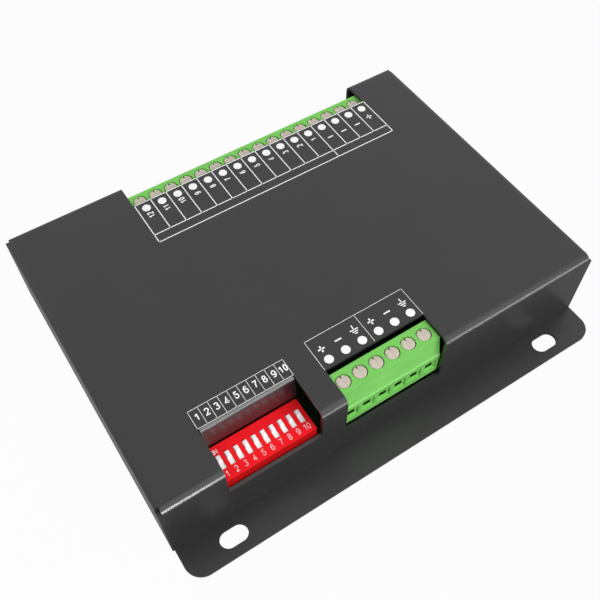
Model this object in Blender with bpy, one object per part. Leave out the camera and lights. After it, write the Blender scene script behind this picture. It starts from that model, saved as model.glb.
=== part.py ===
"""A twelve-channel LED dimmer: folded steel cover, base plate, circuit board with two
screw terminal blocks, a ten-way address switch and the power stage.

The origin is the middle of the underside. +X runs along the cover, +Y to the rear with the
long terminal block, +Z up. Sizes are in millimetres and are turned into metres when a
point is placed.
"""
import math

import bmesh
import bpy
from mathutils import Matrix

MM = 0.001

# Sheet metal
SHEET = 1.0                 # steel sheet of the cover and the base plate
COVER_LENGTH = 135.0        # outside, along X
COVER_DEPTH = 94.8          # outside, along Y, over the two long walls
BEND_RADIUS = 2.0           # outside radius of the cover's top bends
FOOT_RADIUS = 0.5           # inside radius of the bend between a wall and its flange
FLANGE_REACH = 10.3         # from a wall's outer face to the edge of its flange
FLANGE_CORNER = 5.0         # radius of the flange's corners
FLANGE_SETBACK = 0.5        # the flanges start this far in from the left wall
END_WALL_LIFT = 0.5         # the end walls stop this far above the underside
CORNER_RELIEF = 1.9         # square relief where two top bends meet

# Slots for the mounting screws
SLOT_LENGTH = 7.9
SLOT_WIDTH = 4.8
SLOT_INSET = 14.8           # from a slot's middle to the cover's end
SLOT_EDGE = 5.0             # from a slot's middle to the edge of its flange

# Clearances
GAP = 0.3                   # between pieces that touch or nearly touch
WINDOW_SLACK = 0.2          # between a switch slider and the sides of its window

# Tabs that hold the base plate to the end walls
TAB_WIDTH = 10.0
TAB_REACH = 8.0
TAB_HOLE_RADIUS = 1.5
COVER_SCREW_INSET = 5.0     # from the end wall's inner face to the screw's axis
COVER_SCREW_HEAD = 2.6      # radius at the underside
COVER_SCREW_SHANK = 1.2
COVER_SCREW_LENGTH = 5.0
COUNTERSINK_SLACK = 0.3

# Circuit board on its standoffs
STANDOFF_HEIGHT = 7.55
STANDOFF_RADIUS = 3.0
STANDOFF_HOLE_RADIUS = 1.55
STANDOFF_HOLE_DEPTH = 6.0
BOARD_THICKNESS = 1.6
BOARD_END = 4.5             # from the board's ends to the end walls' inner faces
BOARD_EDGE = 1.0            # from its long edges to the long walls' inner faces
BOARD_HOLE_RADIUS = 1.6
HOLE_FROM_END = 5.0         # from the board's end to a hole's axis
HOLE_FROM_EDGE = 6.4        # from the board's long edge to a hole's axis
BOARD_SCREW_HEAD = 2.75
BOARD_SCREW_HEAD_HEIGHT = 1.9
BOARD_SCREW_SHANK = 1.25
BOARD_SCREW_LENGTH = 5.5

# Screw terminal blocks, the same section for both
POLE_PITCH = 5.08
REAR_POLES = 16
FRONT_POLES = 6
OUTPUTS = 12
END_CHEEK = 0.45            # extra wall at each end of a block
TERMINAL_HEIGHT = 14.45
TERMINAL_BACK = 3.3         # from the screw's axis to the inner face
TERMINAL_TOP = 2.95         # from the screw's axis to the edge of the flat top
TERMINAL_SHOULDER = 4.05    # from the screw's axis to the foot of the slope
TERMINAL_FACE = 4.6         # from the screw's axis to the wire side
SLOPE_DROP = 6.2            # from the top down to the foot of the slope
SHOULDER_DROP = 6.5         # from the top down to the edge of the wire side
FRONT_BLOCK_X = 0.2         # middle of the front block
REAR_BLOCK_END = 11.31      # from the board's right end to the rear block
FRONT_FACE_GAP = 0.3        # from the front wall's inner face to the front block
REAR_FACE_GAP = 1.6         # from the rear wall's inner face to the rear block

# One pole of a block
CELL_WIDTH = 3.6
CELL_BACK = 2.4             # from the screw's axis to the cell's back
CELL_FRONT = 3.1            # from the screw's axis to the cell's front
CELL_ROOF = 5.2             # from the block's top down to the cell's roof
WELL_RADIUS = 2.15
WELL_DEPTH = 2.6
SHANK_HOLE_RADIUS = 1.6
RECESS_WIDTH = 4.3          # shallow funnel round the wire entry
RECESS_HEIGHT = 4.0
RECESS_DEPTH = 0.6
RECESS_DROP = 8.2           # from the block's top down to the top of the recess
ENTRY_WIDTH = 2.2
ENTRY_HEIGHT = 2.2
ENTRY_DROP = 9.75           # from the block's top down to the top of the wire entry

# Terminal screws
TERMINAL_SCREW_HEAD = 1.95
TERMINAL_SCREW_HEAD_HEIGHT = 1.9
TERMINAL_SCREW_SHANK = 1.3
TERMINAL_SCREW_LENGTH = 7.0
SLOT_CUT_WIDTH = 0.6
SLOT_CUT_DEPTH = 0.8
HEAD_CHAMFER = 0.2

# Contacts soldered to the board under each terminal screw
CONTACT_POST = 1.0
CONTACT_PLATE = 0.7
CONTACT_DROP = 12.25        # from the block's top down to the contact's upper face

# Windows in the cover, each a little longer than the poles or the switch that it shows
REAR_NOTCH_SLACK = 0.32
REAR_NOTCH_SHIFT = -0.2     # from the block's middle to the window's middle
REAR_NOTCH_REACH = 9.1      # from the rear wall's outer face to the notch's inner edge
FRONT_WINDOW_SLACK = 0.52
FRONT_WINDOW_SHIFT = 0.27
FRONT_WINDOW_REACH = 10.3   # from the front wall's outer face to the window's inner edge
TERMINAL_WINDOW_DROP = 16.7  # from the cover's top down to a terminal window's lower edge
SWITCH_WINDOW_SLACK = 0.55
SWITCH_WINDOW_SHIFT = 0.55
SWITCH_WINDOW_DROP = 11.1

# Tongue folded down behind the switch, out of the sheet that its window leaves
TONGUE_LENGTH = 6.5         # straight part, below the bend
TONGUE_RADIUS = 1.0         # outside radius of its bend
TONGUE_TILT = 9.0           # degrees that it leans out from upright
TONGUE_RELIEF = 0.3         # how far the cuts at its sides run past the bend
TONGUE_ROOT = 1.0           # how far its solid runs back into the top sheet

# Ten-way address switch
SWITCHES = 10
SWITCH_PITCH = 2.54
SWITCH_CHEEK = 0.625        # from the last switch's share of the housing to its end
SWITCH_HEIGHT = 7.95
SWITCH_END = 12.025         # from the board's left end to the housing
SWITCH_WALL = 0.55
SWITCH_ROOF = 0.5
SWITCH_FLOOR = 4.4
WINDOW_SHIFT = 0.25         # the windows lie this far behind the housing's middle
KNOB_LENGTH = 1.8
KNOB_WIDTH = 1.0
KNOB_PROUD = 0.4            # how far a knob stands above the housing
KNOB_SLOPE = 0.7            # how far a knob's front slopes back
KNOB_TRAVEL = 1.75
SLIDER_WIDTH = 1.9
SLIDER_LAP = 0.125          # how far a slider still covers its window's end

# Parts of the power stage and the logic, in rows behind the lines of the terminal screws
TRANSISTOR_BODY = (6.5, 6.0, 2.3)
TRANSISTOR_TAB = (5.2, 3.0, 1.2)
TRANSISTOR_LEAD = (0.8, 2.6, 0.6)
TRANSISTOR_CHAMFER = 0.4
LEAD_ROOT = 0.5             # how far a lead runs into its moulded body
TRANSISTOR_ROWS = (-10.5, -21.0)    # from the rear screws
CAPACITOR_RADIUS = 5.0
CAPACITOR_HEIGHT = 12.0
CAPACITOR_RIM = 0.5         # chamfer of the can's top
CAPACITOR_CRIMP = (2.1, 0.5, 0.4)   # height of the rolled groove, half its width, its depth
CAPACITOR_FOOT = 0.3        # chamfer of the can's foot
CAPACITOR_ROW = -20.2       # from the rear screws
REGULATOR_ROW = -36.2
SUPPLY_INSET = 19.0         # from the board's right end to the capacitor and the regulator
CONTROLLER_BODY = (12.8, 7.5, 2.3)
CONTROLLER_PINS = 10
CONTROLLER_ROW = 27.5       # from the front screws
CONTROLLER_INSET = 36.0     # from the board's left end
TRANSCEIVER_BODY = (4.9, 3.9, 1.5)
TRANSCEIVER_PINS = 4
TRANSCEIVER_ROW = 15.5      # from the front screws
PIN_PITCH = 1.27
PIN_WIDTH = 0.45
PIN_REACH = 1.0             # from a chip's body to where its pins touch down
PIN_THICKNESS = 0.25
CHIP_LIFT = 0.15            # from a pin's foot to the underside of its chip

# Heights and faces that follow from the sizes above
BOARD_UNDER = SHEET + STANDOFF_HEIGHT + GAP
BOARD_TOP = BOARD_UNDER + BOARD_THICKNESS
BLOCK_UNDER = BOARD_TOP + GAP
BLOCK_TOP = BLOCK_UNDER + TERMINAL_HEIGHT
COVER_UNDER = BLOCK_TOP + GAP
COVER_TOP = COVER_UNDER + SHEET
HALF_LENGTH = COVER_LENGTH / 2
HALF_DEPTH = COVER_DEPTH / 2
INNER_LENGTH = HALF_LENGTH - SHEET
INNER_DEPTH = HALF_DEPTH - SHEET
EDGE = HALF_DEPTH + FLANGE_REACH
FRONT_SCREWS_Y = -(INNER_DEPTH - FRONT_FACE_GAP - TERMINAL_FACE)
REAR_SCREWS_Y = INNER_DEPTH - REAR_FACE_GAP - TERMINAL_FACE

# The switch housing's depth leaves room for the sliders behind their windows
SLIDER_WINDOW = KNOB_TRAVEL + KNOB_LENGTH + WINDOW_SLACK * 2
SLIDER_REAR = WINDOW_SHIFT + SLIDER_WINDOW / 2 + SLIDER_LAP + KNOB_TRAVEL
SWITCH_HALF_DEPTH = SLIDER_REAR + GAP + SWITCH_WALL
SWITCH_Y = -(INNER_DEPTH - GAP - SWITCH_HALF_DEPTH)
SWITCH_TOP = BLOCK_UNDER + SWITCH_HEIGHT
WINDOW_Y = SWITCH_Y + WINDOW_SHIFT

# Lengths and places along the board
HALF_BOARD_LENGTH = INNER_LENGTH - BOARD_END
HALF_BOARD_DEPTH = INNER_DEPTH - BOARD_EDGE
REAR_BLOCK_HALF = REAR_POLES * POLE_PITCH / 2 + END_CHEEK
REAR_BLOCK_X = HALF_BOARD_LENGTH - REAR_BLOCK_END - REAR_BLOCK_HALF
SWITCH_HALF = SWITCHES * SWITCH_PITCH / 2 + SWITCH_CHEEK
SWITCH_X = -HALF_BOARD_LENGTH + SWITCH_END + SWITCH_HALF
SUPPLY_X = HALF_BOARD_LENGTH - SUPPLY_INSET
CONTROLLER_X = -HALF_BOARD_LENGTH + CONTROLLER_INSET

# Half lengths and middles of the three windows, and the tongue's two ends along Y
REAR_NOTCH_HALF = (REAR_POLES * POLE_PITCH + REAR_NOTCH_SLACK) / 2
REAR_NOTCH_X = REAR_BLOCK_X + REAR_NOTCH_SHIFT
FRONT_WINDOW_HALF = (FRONT_POLES * POLE_PITCH + FRONT_WINDOW_SLACK) / 2
FRONT_WINDOW_X = FRONT_BLOCK_X + FRONT_WINDOW_SHIFT
SWITCH_WINDOW_HALF = SWITCH_HALF + SWITCH_WINDOW_SLACK / 2
SWITCH_WINDOW_X = SWITCH_X + SWITCH_WINDOW_SHIFT
TONGUE_LEAN = math.radians(TONGUE_TILT)
TONGUE_LOW_Y = SWITCH_Y + SWITCH_HALF_DEPTH + GAP
TONGUE_HIGH_Y = (
    TONGUE_LOW_Y + TONGUE_LENGTH * math.sin(TONGUE_LEAN) + TONGUE_RADIUS * math.cos(TONGUE_LEAN)
)

BEYOND = 3.0                # how far a cutter runs past what it cuts
OVERRUN = 1.0               # the same, inside the housings, where less room is left


def clear_scene():
    for thing in list(bpy.data.objects):
        bpy.data.objects.remove(thing, do_unlink=True)


def material(name, colour, roughness, metallic=0.0):
    made = bpy.data.materials.get(name)
    if made is None:
        made = bpy.data.materials.new(name)
        made.use_nodes = True
        shader = made.node_tree.nodes["Principled BSDF"]
        shader.inputs["Base Color"].default_value = (*colour, 1.0)
        shader.inputs["Roughness"].default_value = roughness
        shader.inputs["Metallic"].default_value = metallic
    return made


def black_coat():
    return material("black_coat", (0.045, 0.045, 0.047), 0.45)


def zinc_plate():
    return material("zinc_plate", (0.62, 0.63, 0.64), 0.35, 1.0)


def board_green():
    return material("board_green", (0.02, 0.08, 0.04), 0.4)


def terminal_green():
    return material("terminal_green", (0.17, 0.58, 0.12), 0.4)


def nickel():
    return material("nickel", (0.7, 0.66, 0.6), 0.35, 1.0)


def switch_red():
    return material("switch_red", (0.85, 0.012, 0.02), 0.35)


def slider_white():
    return material("slider_white", (0.9, 0.9, 0.88), 0.4)


def package_black():
    return material("package_black", (0.02, 0.02, 0.022), 0.5)


def sleeve_blue():
    return material("sleeve_blue", (0.02, 0.05, 0.16), 0.35)


def to_mesh(name, shape):
    """Close a bmesh whose points are in millimetres and keep it as a mesh in metres."""
    bmesh.ops.recalc_face_normals(shape, faces=shape.faces)
    bmesh.ops.scale(shape, vec=(MM, MM, MM), verts=shape.verts)
    mesh = bpy.data.meshes.new(name)
    shape.to_mesh(mesh)
    shape.free()
    return mesh


def add_object(name, mesh, place=(0.0, 0.0, 0.0), look=None):
    thing = bpy.data.objects.new(name, mesh)
    bpy.context.scene.collection.objects.link(thing)
    thing.location = [value * MM for value in place]
    if look is not None and not mesh.materials:
        mesh.materials.append(look)
    return thing


def hold(thing, holder):
    """Parent an object that already stands in its place."""
    bpy.context.view_layer.update()
    thing.parent = holder
    thing.matrix_parent_inverse = holder.matrix_world.inverted()


def smooth(mesh):
    mesh.shade_smooth()
    mesh.set_sharp_from_angle(angle=math.radians(35))


def arc(middle, radius, start, end, steps):
    """Points on an arc in a plane, with angles in degrees."""
    points = []
    for step in range(steps + 1):
        turn = math.radians(start + (end - start) * step / steps)
        points.append((middle[0] + radius * math.cos(turn), middle[1] + radius * math.sin(turn)))
    return points


def mirrored(points):
    """An outline's left half, followed by its mirror image."""
    return points + [(-across, up) for across, up in reversed(points)]


def add_prism(shape, outline, axis, low, high):
    """Push a closed outline along X, Y or Z and add it to the bmesh."""
    order = {"X": (2, 0, 1), "Y": (0, 2, 1), "Z": (0, 1, 2)}[axis]
    rings = []
    for level in (low, high):
        ring = []
        for point in outline:
            flat = (*point, level)
            ring.append(shape.verts.new([flat[index] for index in order]))
        rings.append(ring)
    shape.faces.new(rings[0])
    shape.faces.new(list(reversed(rings[1])))
    count = len(outline)
    for index in range(count):
        after = (index + 1) % count
        shape.faces.new((rings[0][index], rings[1][index], rings[1][after], rings[0][after]))


def prism(name, outline, axis, low, high):
    shape = bmesh.new()
    add_prism(shape, outline, axis, low, high)
    return to_mesh(name, shape)


def add_box(shape, middle, size):
    """A box round a middle point, with its three sizes."""
    place = Matrix.Translation(middle) @ Matrix.Diagonal((*size, 1.0))
    bmesh.ops.create_cube(shape, size=1.0, matrix=place)


def add_span(shape, low, high):
    """A box between two opposite corners."""
    middle = [(a + b) / 2 for a, b in zip(low, high)]
    add_box(shape, middle, [b - a for a, b in zip(low, high)])


def add_cylinder(shape, middle, low, high, radius, sides=24, top_radius=None):
    """An upright cylinder, or a cone where the top radius is given."""
    place = Matrix.Translation((middle[0], middle[1], (low + high) / 2))
    bmesh.ops.create_cone(
        shape,
        cap_ends=True,
        segments=sides,
        radius1=radius,
        radius2=radius if top_radius is None else top_radius,
        depth=high - low,
        matrix=place,
    )


def add_across(shape, x, width, line, near, far, low, high):
    """A box in one pole. near and far are measured outward from the line of the screws."""
    screws_y, outward = line
    ends = sorted((screws_y + outward * near, screws_y + outward * far))
    add_span(shape, (x - width / 2, ends[0], low), (x + width / 2, ends[1], high))


def stadium(middle, length, width, steps=8):
    """The outline of a slot with round ends, long side along X."""
    half = (length - width) / 2
    right = arc((middle[0] + half, middle[1]), width / 2, -90, 90, steps)
    left = arc((middle[0] - half, middle[1]), width / 2, 90, 270, steps)
    return right + left


def tool_from(name, shape):
    """A cutter or an adder: seen as wires and left out of renders."""
    tool = add_object(name, to_mesh(name, shape))
    tool.hide_render = True
    tool.display_type = "WIRE"
    return tool


def combine(thing, tool, operation):
    step = thing.modifiers.new(tool.name, "BOOLEAN")
    step.operation = operation
    step.object = tool
    step.solver = "EXACT"


def cut(thing, name, shape):
    combine(thing, tool_from(name, shape), "DIFFERENCE")


def join(thing, name, shape):
    combine(thing, tool_from(name, shape), "UNION")


def settle(thing):
    """Keep the result of an object's modifiers as its mesh, so that copies can share it."""
    bpy.context.view_layer.update()
    ready = thing.evaluated_get(bpy.context.evaluated_depsgraph_get())
    mesh = bpy.data.meshes.new_from_object(ready)
    mesh.name = thing.name
    thing.modifiers.clear()
    thing.data = mesh
    return mesh


def pole_places(poles, middle):
    first = middle - (poles - 1) / 2 * POLE_PITCH
    return [first + index * POLE_PITCH for index in range(poles)]


# The cover

def cover_section():
    """The cover's outer outline across its long walls, with both flanges."""
    foot = (-HALF_DEPTH - FOOT_RADIUS, SHEET + FOOT_RADIUS)
    bend = (-HALF_DEPTH + BEND_RADIUS, COVER_TOP - BEND_RADIUS)
    half = [(-EDGE, 0.0), (-EDGE, SHEET)]
    half += arc(foot, FOOT_RADIUS, -90, 0, 3)
    half += arc(bend, BEND_RADIUS, 180, 90, 6)
    return mirrored(half)


def hollow_section():
    """The space under that outline, one sheet thickness further in."""
    foot = (-HALF_DEPTH - FOOT_RADIUS, SHEET + FOOT_RADIUS)
    bend = (-HALF_DEPTH + BEND_RADIUS, COVER_TOP - BEND_RADIUS)
    half = [(foot[0], -BEYOND)]
    half += arc(foot, FOOT_RADIUS + SHEET, -90, 0, 4)
    half += arc(bend, BEND_RADIUS - SHEET, 180, 90, 4)
    return mirrored(half)


def end_section(inset, radius, below):
    """The outline across the end walls, a given distance in from their outer faces."""
    side = HALF_LENGTH - inset
    top = COVER_TOP - inset
    half = [(-side, -below)]
    half += arc((-side + radius, top - radius), radius, 180, 90, 6)
    return mirrored(half)


def flange_corner(across, along):
    """What is cut off one flange corner to leave it round. The signs name the corner."""
    end = HALF_LENGTH if across > 0 else HALF_LENGTH - FLANGE_SETBACK
    middle = (end - FLANGE_CORNER, EDGE - FLANGE_CORNER)
    outline = arc(middle, FLANGE_CORNER, 0, 90, 6)
    outline.append((middle[0], EDGE + BEYOND))
    outline.append((end + BEYOND, EDGE + BEYOND))
    outline.append((end + BEYOND, middle[1]))
    return [(x * across, y * along) for x, y in outline]


def cut_flanges(cover):
    shape = bmesh.new()
    for across in (-1, 1):
        for along in (-1, 1):
            add_prism(shape, flange_corner(across, along), "Z", -BEYOND, SHEET + BEYOND)
    cut(cover, "flange_corner_cutter", shape)
    shape = bmesh.new()
    for along in (-1, 1):
        low = (-HALF_LENGTH - BEYOND, min(HALF_DEPTH * along, (EDGE + BEYOND) * along), -BEYOND)
        high = (
            -HALF_LENGTH + FLANGE_SETBACK,
            max(HALF_DEPTH * along, (EDGE + BEYOND) * along),
            SHEET + FOOT_RADIUS * 2,
        )
        add_span(shape, low, high)
    cut(cover, "flange_setback_cutter", shape)
    shape = bmesh.new()
    for across in (-1, 1):
        for along in (-1, 1):
            middle = (across * (HALF_LENGTH - SLOT_INSET), along * (EDGE - SLOT_EDGE))
            outline = stadium(middle, SLOT_LENGTH, SLOT_WIDTH)
            add_prism(shape, outline, "Z", -BEYOND, SHEET + BEYOND)
    cut(cover, "flange_slot_cutter", shape)


def cut_windows(cover):
    """The notch over the rear block and the two windows over the front edge."""
    top = COVER_TOP + BEYOND
    terminals = COVER_TOP - TERMINAL_WINDOW_DROP
    switch = COVER_TOP - SWITCH_WINDOW_DROP
    front = -HALF_DEPTH - BEYOND
    rear = HALF_DEPTH + BEYOND
    shape = bmesh.new()
    add_span(
        shape,
        (REAR_NOTCH_X - REAR_NOTCH_HALF, HALF_DEPTH - REAR_NOTCH_REACH, terminals),
        (REAR_NOTCH_X + REAR_NOTCH_HALF, rear, top),
    )
    add_span(
        shape,
        (FRONT_WINDOW_X - FRONT_WINDOW_HALF, front, terminals),
        (FRONT_WINDOW_X + FRONT_WINDOW_HALF, -HALF_DEPTH + FRONT_WINDOW_REACH, top),
    )
    add_span(
        shape,
        (SWITCH_WINDOW_X - SWITCH_WINDOW_HALF, front, switch),
        (SWITCH_WINDOW_X + SWITCH_WINDOW_HALF, TONGUE_HIGH_Y + TONGUE_RELIEF, top),
    )
    cut(cover, "window_cutter", shape)


def tongue_section():
    """The tongue's outline in Y and Z: top, bend, front face, lower edge, back face."""
    root = TONGUE_HIGH_Y + TONGUE_ROOT
    centre = (TONGUE_HIGH_Y, COVER_TOP - TONGUE_RADIUS)
    bend = arc(centre, TONGUE_RADIUS, 90, 180 - TONGUE_TILT, 6)
    low = (TONGUE_LOW_Y, bend[-1][1] - TONGUE_LENGTH * math.cos(TONGUE_LEAN))
    back = (low[0] + SHEET * math.cos(TONGUE_LEAN), low[1] - SHEET * math.sin(TONGUE_LEAN))
    inner = (TONGUE_HIGH_Y + TONGUE_RADIUS - SHEET, COVER_UNDER)
    return [(root, COVER_TOP)] + bend + [low, back, inner, (root, COVER_UNDER)]


def add_tongue(cover):
    """The strip between the window's two side cuts, folded down behind the switch."""
    half = SWITCH_WINDOW_HALF - GAP
    shape = bmesh.new()
    add_prism(shape, tongue_section(), "X", SWITCH_WINDOW_X - half, SWITCH_WINDOW_X + half)
    join(cover, "tongue_adder", shape)


def cut_corners(cover):
    """Square reliefs where the top bends meet, and the lift of the end walls."""
    shape = bmesh.new()
    for across in (-1, 1):
        for along in (-1, 1):
            middle = (
                across * (HALF_LENGTH - CORNER_RELIEF / 2 + BEYOND / 2),
                along * (HALF_DEPTH - CORNER_RELIEF / 2 + BEYOND / 2),
                COVER_TOP - BEND_RADIUS / 2 + BEYOND / 2,
            )
            side = CORNER_RELIEF + BEYOND
            add_box(shape, middle, (side, side, BEND_RADIUS + BEYOND))
    cut(cover, "corner_relief_cutter", shape)
    shape = bmesh.new()
    for across in (-1, 1):
        middle = (across * (HALF_LENGTH - SHEET / 2), 0.0, (END_WALL_LIFT - BEYOND) / 2)
        add_box(shape, middle, (SHEET * 2, INNER_DEPTH * 2, END_WALL_LIFT + BEYOND))
    cut(cover, "end_wall_lift_cutter", shape)


def cover_screw_places():
    inset = INNER_LENGTH - COVER_SCREW_INSET
    return [(-inset, 0.0), (inset, 0.0)]


def add_tabs(cover):
    """Tabs folded in from the end walls, with the threaded holes for the cover screws."""
    low = SHEET + GAP
    shape = bmesh.new()
    for across in (-1, 1):
        outer = across * (INNER_LENGTH + SHEET / 2)
        inner = across * (INNER_LENGTH - TAB_REACH)
        add_span(
            shape,
            (min(outer, inner), -TAB_WIDTH / 2, low),
            (max(outer, inner), TAB_WIDTH / 2, low + SHEET),
        )
    join(cover, "tab_adder", shape)
    shape = bmesh.new()
    for place in cover_screw_places():
        add_cylinder(shape, place, low - BEYOND, low + SHEET + BEYOND, TAB_HOLE_RADIUS, 16)
    cut(cover, "tab_hole_cutter", shape)


def make_cover():
    beyond = EDGE + BEYOND
    shell = prism("cover", cover_section(), "X", -HALF_LENGTH - BEYOND, HALF_LENGTH + BEYOND)
    cover = add_object("cover", shell, look=black_coat())
    ends = bmesh.new()
    add_prism(ends, end_section(0.0, BEND_RADIUS, BEYOND), "Y", -beyond, beyond)
    combine(cover, tool_from("cover_ends", ends), "INTERSECT")
    inside = bmesh.new()
    add_prism(inside, hollow_section(), "X", -HALF_LENGTH - BEYOND, HALF_LENGTH + BEYOND)
    hollow = tool_from("cover_hollow", inside)
    inner_ends = bmesh.new()
    radius = BEND_RADIUS - SHEET
    add_prism(inner_ends, end_section(SHEET, radius, BEYOND * 2), "Y", -beyond, beyond)
    combine(hollow, tool_from("cover_inner_ends", inner_ends), "INTERSECT")
    combine(cover, hollow, "DIFFERENCE")
    cut_flanges(cover)
    cut_windows(cover)
    add_tongue(cover)
    cut_corners(cover)
    add_tabs(cover)
    smooth(cover.data)
    return cover


# Base plate, circuit board and their screws

def standoff_places():
    half_x = HALF_BOARD_LENGTH - HOLE_FROM_END
    half_y = HALF_BOARD_DEPTH - HOLE_FROM_EDGE
    return [(x, y) for y in (-half_y, half_y) for x in (-half_x, half_x)]


def make_base_plate():
    """The plate that closes the cover from below, with its pressed-in standoffs."""
    shape = bmesh.new()
    across = INNER_LENGTH - GAP
    along = INNER_DEPTH - GAP
    add_span(shape, (-across, -along, 0.0), (across, along, SHEET))
    plate = add_object("base_plate", to_mesh("base_plate", shape), look=zinc_plate())
    posts = bmesh.new()
    top = SHEET + STANDOFF_HEIGHT
    for place in standoff_places():
        add_cylinder(posts, place, SHEET / 2, top, STANDOFF_RADIUS, 6)
    join(plate, "standoff_adder", posts)
    holes = bmesh.new()
    bottom = top - STANDOFF_HOLE_DEPTH
    for place in standoff_places():
        add_cylinder(holes, place, bottom, top + BEYOND, STANDOFF_HOLE_RADIUS, 16)
    cut(plate, "standoff_hole_cutter", holes)
    sinks = bmesh.new()
    for place in cover_screw_places():
        wide = COVER_SCREW_HEAD + COUNTERSINK_SLACK
        narrow = COVER_SCREW_SHANK + COUNTERSINK_SLACK
        spread = (wide - narrow) / SHEET * OVERRUN
        add_cylinder(sinks, place, -OVERRUN, SHEET + OVERRUN, wide + spread, 20, narrow - spread)
    cut(plate, "countersink_cutter", sinks)
    return plate


def make_circuit_board():
    """The board with its four holes and the contacts soldered under the terminal screws."""
    shape = bmesh.new()
    add_span(
        shape,
        (-HALF_BOARD_LENGTH, -HALF_BOARD_DEPTH, BOARD_UNDER),
        (HALF_BOARD_LENGTH, HALF_BOARD_DEPTH, BOARD_TOP),
    )
    board = add_object("circuit_board", to_mesh("circuit_board", shape), look=board_green())
    holes = bmesh.new()
    above = BOARD_TOP + OVERRUN
    for place in standoff_places():
        add_cylinder(holes, place, BOARD_UNDER - OVERRUN, above, BOARD_HOLE_RADIUS, 16)
    cut(board, "board_hole_cutter", holes)
    posts = bmesh.new()
    plates = bmesh.new()
    upper = BLOCK_TOP - CONTACT_DROP
    lower = upper - CONTACT_PLATE
    foot = BOARD_UNDER + BOARD_THICKNESS / 2
    head = upper - CONTACT_PLATE / 2
    back = GAP - CELL_BACK
    for x, y, outward in terminal_screw_places():
        line = (y, outward)
        add_across(posts, x, CONTACT_POST, line, back, back + CONTACT_POST, foot, head)
        add_across(plates, x, CELL_WIDTH - GAP * 2, line, back, CELL_FRONT - GAP, lower, upper)
    join(board, "contact_post_adder", posts)
    join(board, "contact_plate_adder", plates)
    return board


def turned(name, profile, sides):
    """A solid turned about Z from (radius, height) points that start and end on the axis."""
    shape = bmesh.new()
    ring = [shape.verts.new((radius, 0.0, height)) for radius, height in profile]
    edges = [shape.edges.new(pair) for pair in zip(ring, ring[1:])]
    bmesh.ops.spin(
        shape,
        geom=ring + edges,
        cent=(0.0, 0.0, 0.0),
        axis=(0.0, 0.0, 1.0),
        angle=math.tau,
        steps=sides,
        use_merge=True,
    )
    bmesh.ops.remove_doubles(shape, verts=shape.verts, dist=0.001)
    return to_mesh(name, shape)


def slotted_screw_mesh(name, head, head_height, shank, length, sides):
    """A cheese-head screw: origin on its axis at the underside of the head."""
    profile = [
        (0.0, head_height),
        (head - HEAD_CHAMFER, head_height),
        (head, head_height - HEAD_CHAMFER),
        (head, 0.0),
        (shank, 0.0),
        (shank, -length),
        (0.0, -length),
    ]
    blank = add_object(name, turned(name, profile, sides))
    slot = bmesh.new()
    add_span(
        slot,
        (-SLOT_CUT_WIDTH / 2, -head - OVERRUN, head_height - SLOT_CUT_DEPTH),
        (SLOT_CUT_WIDTH / 2, head + OVERRUN, head_height + OVERRUN),
    )
    cut(blank, name + "_slot_cutter", slot)
    mesh = settle(blank)
    bpy.data.objects.remove(blank, do_unlink=True)
    smooth(mesh)
    return mesh


def make_board_screws():
    mesh = slotted_screw_mesh(
        "board_screw",
        BOARD_SCREW_HEAD,
        BOARD_SCREW_HEAD_HEIGHT,
        BOARD_SCREW_SHANK,
        BOARD_SCREW_LENGTH,
        20,
    )
    screws = []
    for index, place in enumerate(standoff_places(), 1):
        spot = (*place, BOARD_TOP + GAP)
        screws.append(add_object(f"board_screw_{index}", mesh, spot, zinc_plate()))
    return screws


def make_cover_screws():
    """Countersunk screws that hold the base plate to the cover's tabs."""
    profile = [
        (0.0, COVER_SCREW_LENGTH),
        (COVER_SCREW_SHANK, COVER_SCREW_LENGTH),
        (COVER_SCREW_SHANK, SHEET),
        (COVER_SCREW_HEAD, 0.0),
        (0.0, 0.0),
    ]
    mesh = turned("cover_screw", profile, 20)
    smooth(mesh)
    screws = []
    for side, place in zip(("left", "right"), cover_screw_places()):
        screws.append(add_object(f"cover_screw_{side}", mesh, (*place, 0.0), zinc_plate()))
    return screws


# Terminal blocks

def terminal_section(outward):
    """A block's outline across its poles, measured from the screws' axis."""
    points = [
        (-TERMINAL_BACK, BLOCK_UNDER),
        (TERMINAL_FACE, BLOCK_UNDER),
        (TERMINAL_FACE, BLOCK_TOP - SHOULDER_DROP),
        (TERMINAL_SHOULDER, BLOCK_TOP - SLOPE_DROP),
        (TERMINAL_TOP, BLOCK_TOP),
        (-TERMINAL_BACK, BLOCK_TOP),
    ]
    return [(across * outward, up) for across, up in points]


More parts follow.
